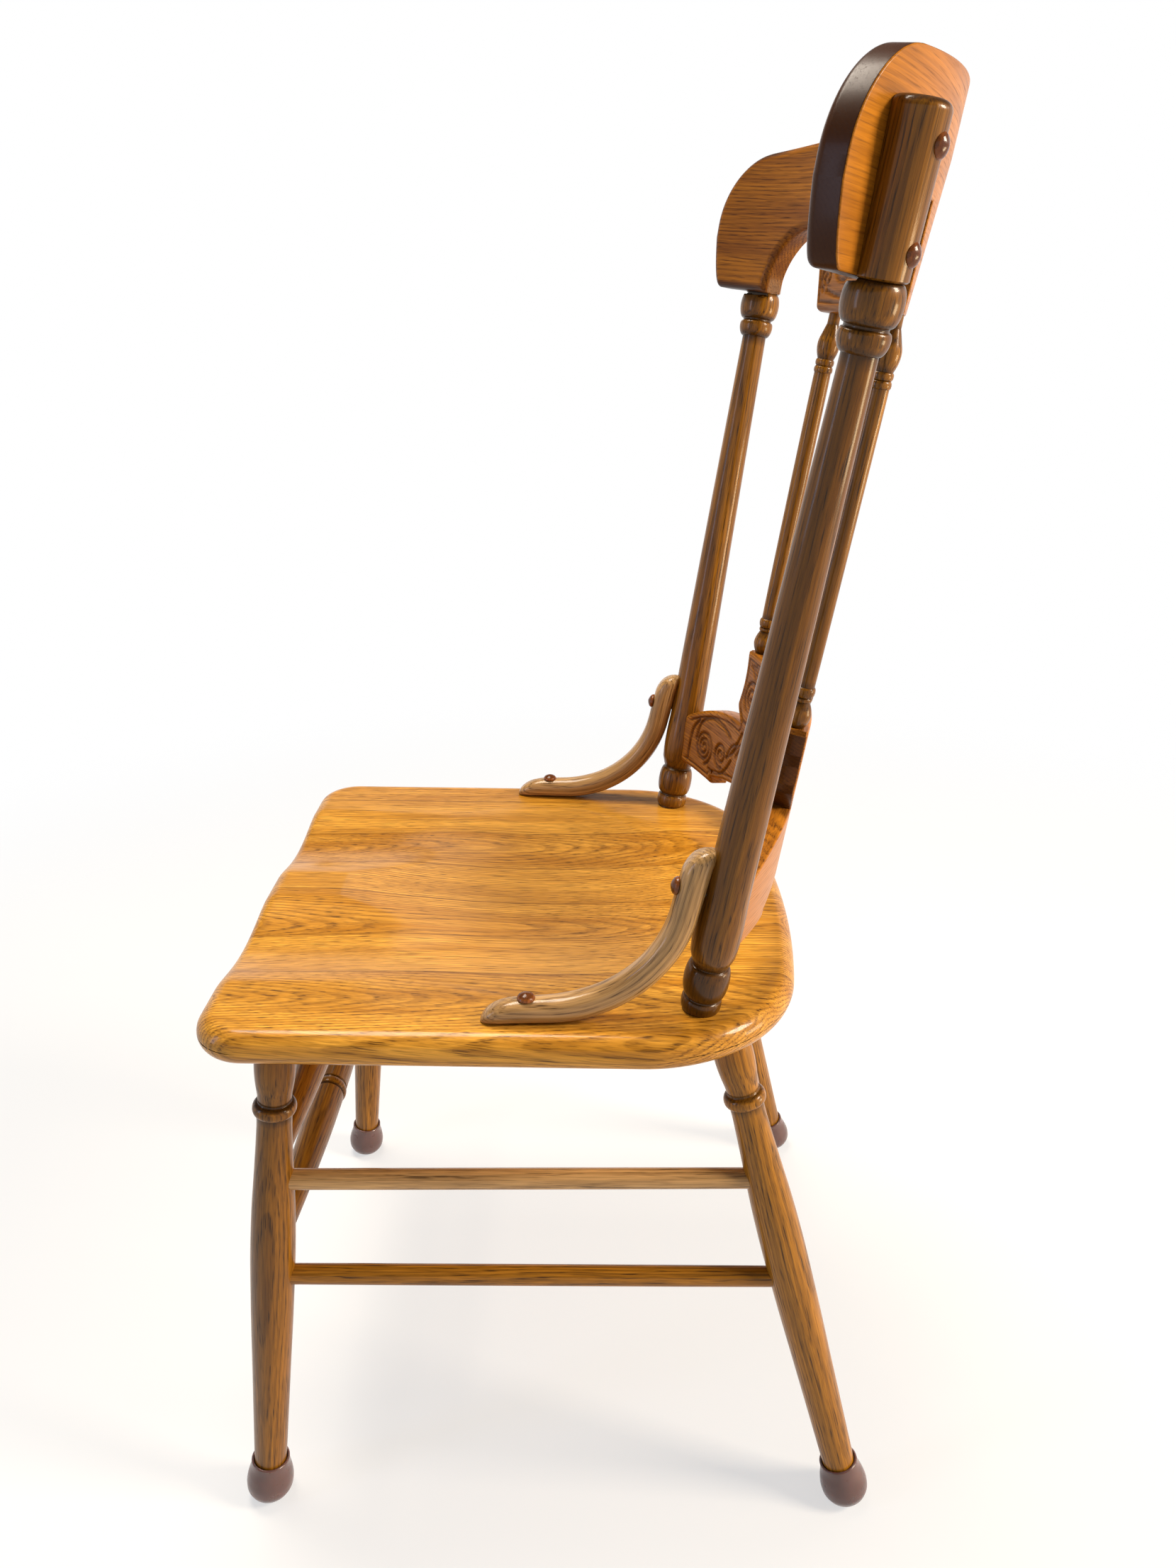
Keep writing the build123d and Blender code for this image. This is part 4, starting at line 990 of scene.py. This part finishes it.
def brace_path():
    """Middle line of the brace with its direction: a run over the seat, the bend, and a run up the post."""
    middle = BRACE_THICK / 2
    start, end = foot_line(BRACE_NOSE, middle), post_line(contact_rise + BRACE_TOP, POST_FRONT + middle)
    first, last = np.arctan2(-FALL, 1.0), np.arctan2(1.0, SLOPE)
    ahead, upright = [np.array([np.cos(angle), np.sin(angle)]) for angle in (first, last)]
    run, climb = np.linalg.solve(stacked(ahead, upright), end - start)
    cut = BRACE_BEND * np.tan((last - first) / 2)
    centre = start + (run - cut) * ahead + BRACE_BEND * np.array([-np.sin(first), np.cos(first)])
    turn = np.linspace(first, last, 40)
    straight = (run - cut) * np.concatenate([0.3 * np.linspace(0, 1, 30) ** 2, np.linspace(0.32, 0.99, 20)])
    climbed = (climb - cut) * (1 - (1 - np.linspace(0.01, 1, 28)) ** 2)
    arc = centre + BRACE_BEND * stacked(np.sin(turn), -np.cos(turn))
    begin = start + straight[:, None] * ahead
    finish = end - (climb - cut - climbed)[:, None] * upright
    way = np.concatenate([np.full(straight.size, first), turn, np.full(climbed.size, last)])
    return np.concatenate([begin, arc, finish]), way


def eased_end(gone, length):
    """Share of the full size near an end: grows from 0 to 1 along a quarter ellipse of the given length."""
    return circle(1, held(1 - gone / length))


# %% Braces
def brace_grid(side, plank):
    """Rounded rectangle along the brace line; its corners are 8.5 mm round, or less at the snout."""
    line, way = brace_path()
    gone = np.concatenate([[0], np.cumsum(np.hypot(*np.diff(line, axis=0).T))])
    left = gone[-1] - gone
    narrower = 1 - 0.1 * held(1 - gone / 70)
    thinner = 1 - 0.2 * held(1 - gone / 75) ** 1.5
    width = BRACE_WIDTH / 2 * eased_end(gone, WIDTH_EASE[0]) * eased_end(left, WIDTH_EASE[1]) * narrower
    thick = BRACE_THICK * eased_end(gone, THICK_EASE[0]) * eased_end(left, THICK_EASE[1]) * thinner
    corner = np.minimum(BRACE_CORNER, np.minimum(width, thick / 2) * 0.96)
    turn = np.linspace(0, 2 * np.pi, 49)
    sx, sy = np.sign(np.cos(turn) + 1e-9), np.sign(np.sin(turn) + 1e-9)
    bx = sx * (width - corner)[:, None] + corner[:, None] * np.cos(turn)
    by = (thick / 2)[:, None] + sy * (thick / 2 - corner)[:, None] + corner[:, None] * np.sin(turn)
    bx, by = [np.concatenate([g[:1] * 0 + g[0].mean(), g, g[-1:] * 0 + g[-1].mean()]) for g in (bx, by)]
    line, way, gone = [np.concatenate([g[:1], g, g[-1:]]) for g in (line, way, gone)]
    rise = by - BRACE_THICK / 2
    a = line[:, :1] - np.sin(way)[:, None] * rise
    h = line[:, 1:] + np.cos(way)[:, None] * rise
    points = brace_origin + a[..., None] * REARWARD + bx[..., None] * SIDEWAYS + h[..., None] * UPWARD
    points[:, -1] = points[:, 0]
    grain = stacked(bx, by, np.repeat(gone[:, None], turn.size, 1)) + np.array(plank)
    return patch(points * np.array([side, 1, 1]), grain)


braces = {"hip_brace_left": (1, (26.0, 30.0, 7000.0)), "hip_brace_right": (-1, (-34.0, 24.0, 8000.0))}
for name, (side, plank) in braces.items():
    make_piece(name, [brace_grid(side, plank)], "oak_bent", tone=0.4, crease=70)

# %% [markdown]
# ## Buttons over the screws
# Each screw is covered by a low domed wooden button. Two sit on every brace and two on every lap.
# They are turned like everything round, about the line of the screw.

# %% Buttons
BUTTON = chain(steps([0.0, 4.0], [4.3, 4.3]), steps([0.0, 0.3], [4.6, 6.1]), bead(1.0, 6.1, 6.2, 0.08, 5),
               through([0, 1.4, 2.6, 3.3, 3.6], [6.2, 5.3, 3.4, 1.5, 0.1], 14))
BUTTON_FOOT = 4.3
MIRROR = np.array([-1.0, 1.0, 1.0])
FOOT_SCREW, POST_SCREW_DOWN, NOSE_THINNED = -138.0, 27.0, 1.9
LAP_SCREWS, LAP_MIDDLE, LAP_REAR = (13.0, 60.0), 40.0, 14.2


def button_at(place, outward, number):
    """A button whose rim stands on the given place and whose dome points outwards, with its mirror image."""
    outward = unit(outward)
    plank = (14.0 + 3 * number, 20.0, 300.0 * number)
    start, end = place - BUTTON_FOOT * outward, place + 5 * outward
    return [turned(start * flip, end * flip, BUTTON, plank, 36) for flip in (1.0, MIRROR)]


seat_up = leaning(UPWARD, SEAT_TILT) - leaning([0, 0, 0], SEAT_TILT)
foot_a, foot_h = foot_line(FOOT_SCREW, BRACE_THICK - NOSE_THINNED)
post_a, post_h = post_line(contact_rise + BRACE_TOP - POST_SCREW_DOWN, POST_FRONT + BRACE_THICK)
brace_spots = [(brace_origin + foot_a * REARWARD + foot_h * UPWARD, seat_up),
               (brace_origin + post_a * REARWARD + post_h * UPWARD, SLOPE * UPWARD - REARWARD)]
lap_x = post_point(LAP_START + LAP_MIDDLE, 1)[0]
lap_way = unit(np.array([lap_x, -CREST_CENTRE, 0]))
lap_out = leaning(lap_way, BACK_LEAN) - leaning([0, 0, 0], BACK_LEAN)
lap_places = [post_point(LAP_START + rise, 1) + lap_way * LAP_REAR for rise in LAP_SCREWS]
lap_spots = [(leaning(place, BACK_LEAN), lap_out) for place in lap_places]
for name, spots, first in (("brace_buttons", brace_spots, 0), ("crest_buttons", lap_spots, 3)):
    buttons = [button_at(*spot, number) for number, spot in enumerate(spots, start=first)]
    make_piece(name, sum(buttons, []), "oak_button")

# %% [markdown]
# ## Floor, light and camera
# The chair stands on a pale plain floor under soft studio light, with the main light high behind its back,
# as the bright edges on that side show. The camera repeats the place and the angle of the picture.

# %% Floor
FLOOR_HALF, FLOOR_Z = 3.0, -0.0006


def seen_rays(tree):
    """1 for rays that show the surround to the eye: from the camera, in a mirror or through glass."""
    ray = add(tree, "ShaderNodeLightPath").outputs
    mirror = maths(tree, "MAXIMUM", ray["Is Camera Ray"], ray["Is Glossy Ray"])
    return maths(tree, "MAXIMUM", mirror, ray["Is Transmission Ray"])


floor_mesh = bpy.data.meshes.new("floor")
corners = [(x * FLOOR_HALF, y * FLOOR_HALF, FLOOR_Z) for x, y in ((-1, -1), (1, -1), (1, 1), (-1, 1))]
floor_mesh.from_pydata(corners, [], [(0, 1, 2, 3)])
floor = bpy.data.objects.new("floor", floor_mesh)
bpy.context.scene.collection.objects.link(floor)
# Matt white paint: a pale plain floor that shows only soft shadows
paint, tree, matt = new_material("matt_white_paint")
feed(matt, {"Base Color": srgb("#F1F0EE"), "Roughness": 0.9})
# The paint fades into the white surround between 0.6 m and 1.9 m from the chair, so no horizon shows
spot = add(tree, "ShaderNodeTexCoord").outputs["Object"]
away = add(tree, "ShaderNodeVectorMath", {0: spot}, operation="LENGTH").outputs["Value"]
fade = add(tree, "ShaderNodeMapRange", {"Value": away, "From Min": 0.6, "From Max": 1.9},
           interpolation_type="SMOOTHSTEP").outputs["Result"]
clear = add(tree, "ShaderNodeBsdfTransparent").outputs["BSDF"]
pale = add(tree, "ShaderNodeEmission", {"Color": srgb("#FFFFFF"), "Strength": 1.0}).outputs["Emission"]
bright = maths(tree, "MULTIPLY", seen_rays(tree), 0.6)
near = add(tree, "ShaderNodeMixShader", {"Fac": bright, 1: matt.outputs["BSDF"], 2: pale}).outputs["Shader"]
whole = add(tree, "ShaderNodeMixShader", {"Fac": fade, 1: near, 2: clear}).outputs["Shader"]
feed(tree.nodes["Material Output"], {"Surface": whole})
floor_mesh.materials.append(paint)
print("floor", 2 * FLOOR_HALF, "m wide")

# %% Studio light
world = bpy.data.worlds.new("studio")
bpy.context.scene.world = world
world.use_nodes = True
sky = world.node_tree
sky.nodes.clear()
soft = add(sky, "ShaderNodeBackground", {"Color": srgb("#FFFFFF"), "Strength": 0.24}).outputs["Background"]
# In mirrors, white walls reach 17 degrees above the horizon and pass into a grey ceiling at 25 degrees
incoming = add(sky, "ShaderNodeNewGeometry").outputs["Incoming"]
height = add(sky, "ShaderNodeSeparateXYZ", {"Vector": incoming}).outputs["Z"]
mirrored = add(sky, "ShaderNodeMapRange", {
    "Value": height, "From Min": -0.42, "From Max": -0.29, "To Min": 0.15, "To Max": 1.0},
    interpolation_type="SMOOTHSTEP").outputs["Result"]
plain = maths(sky, "MAXIMUM", mirrored, add(sky, "ShaderNodeLightPath").outputs["Is Camera Ray"])
white = add(sky, "ShaderNodeBackground", {"Strength": plain, "Color": srgb("#FFFFFF")}).outputs["Background"]
shown = add(sky, "ShaderNodeMixShader", {"Fac": seen_rays(sky), 1: soft, 2: white}).outputs["Shader"]
add(sky, "ShaderNodeOutputWorld", {"Surface": shown})


def set_up(name, data, place, right, up, back):
    """A lamp or a camera at a place, with the directions of its right, its top and its back."""
    holder = bpy.data.objects.new(name, data)
    bpy.context.scene.collection.objects.link(holder)
    turn = Matrix(stacked(right, up, back).tolist()).to_4x4()
    holder.matrix_world = Matrix.Translation(place) @ turn
    return holder


def lamp(name, place, aim, width, height, watts, colour):
    """A soft light of a width and height at a place, turned to face its aim."""
    data = bpy.data.lights.new(name, "AREA")
    data.shape, data.size, data.size_y = "RECTANGLE", width, height
    data.energy, data.color = watts, srgb(colour)[:3]
    back = unit(np.array(place, float) - np.array(aim, float))
    right = unit(np.cross(UPWARD, back))
    set_up(name, data, place, right, np.cross(back, right), back)


lamp("key", (0.55, 2.2, 1.8), (0, 0.1, 0.6), 0.7, 0.7, 72, "#FFF0DC")
lamp("overhead", (-0.4, -0.4, 2.5), (0, -0.1, 0.4), 0.9, 0.9, 50, "#FFF4E4")
lamp("window", (1.0, -2.3, 1.3), (0, 0, 0.7), 0.45, 1.6, 11, "#C6DAFF")
lamp("ceiling", (-2.3, -0.4, 1.8), (0, -0.1, 0.4), 0.5, 0.5, 1.4, "#FFF4E4")
lamp("low", (0.45, 2.0, 0.35), (0.2, 0.2, 0.22), 0.5, 0.5, 16, "#FFE6B8")
print("five soft lamps and a white surround")

# %% Camera
SENSOR_MM, FOCAL_SHARE = 36.0, 1600.0 / 1659.0
camera_data = bpy.data.cameras.new("camera")
camera_data.sensor_fit = "HORIZONTAL"
camera_data.sensor_width = SENSOR_MM
camera_data.lens = FOCAL_SHARE * SENSOR_MM
azimuth, elevation, roll = np.radians([91.094, 22.600, -1.236])
flat = np.cos(elevation)
backward = np.array([np.sin(azimuth) * flat, -np.cos(azimuth) * flat, np.sin(elevation)])
level = unit(np.cross(-backward, UPWARD))
over = np.cross(level, -backward)
right = np.cos(roll) * level + np.sin(roll) * over
top = np.cos(roll) * over - np.sin(roll) * level
bpy.context.scene.camera = set_up("camera", camera_data, (0.84184, 0.0407, 0.88975), right, top, backward)
bpy.context.scene.view_settings.view_transform = "Standard"
print("camera", camera_data.lens, "mm")
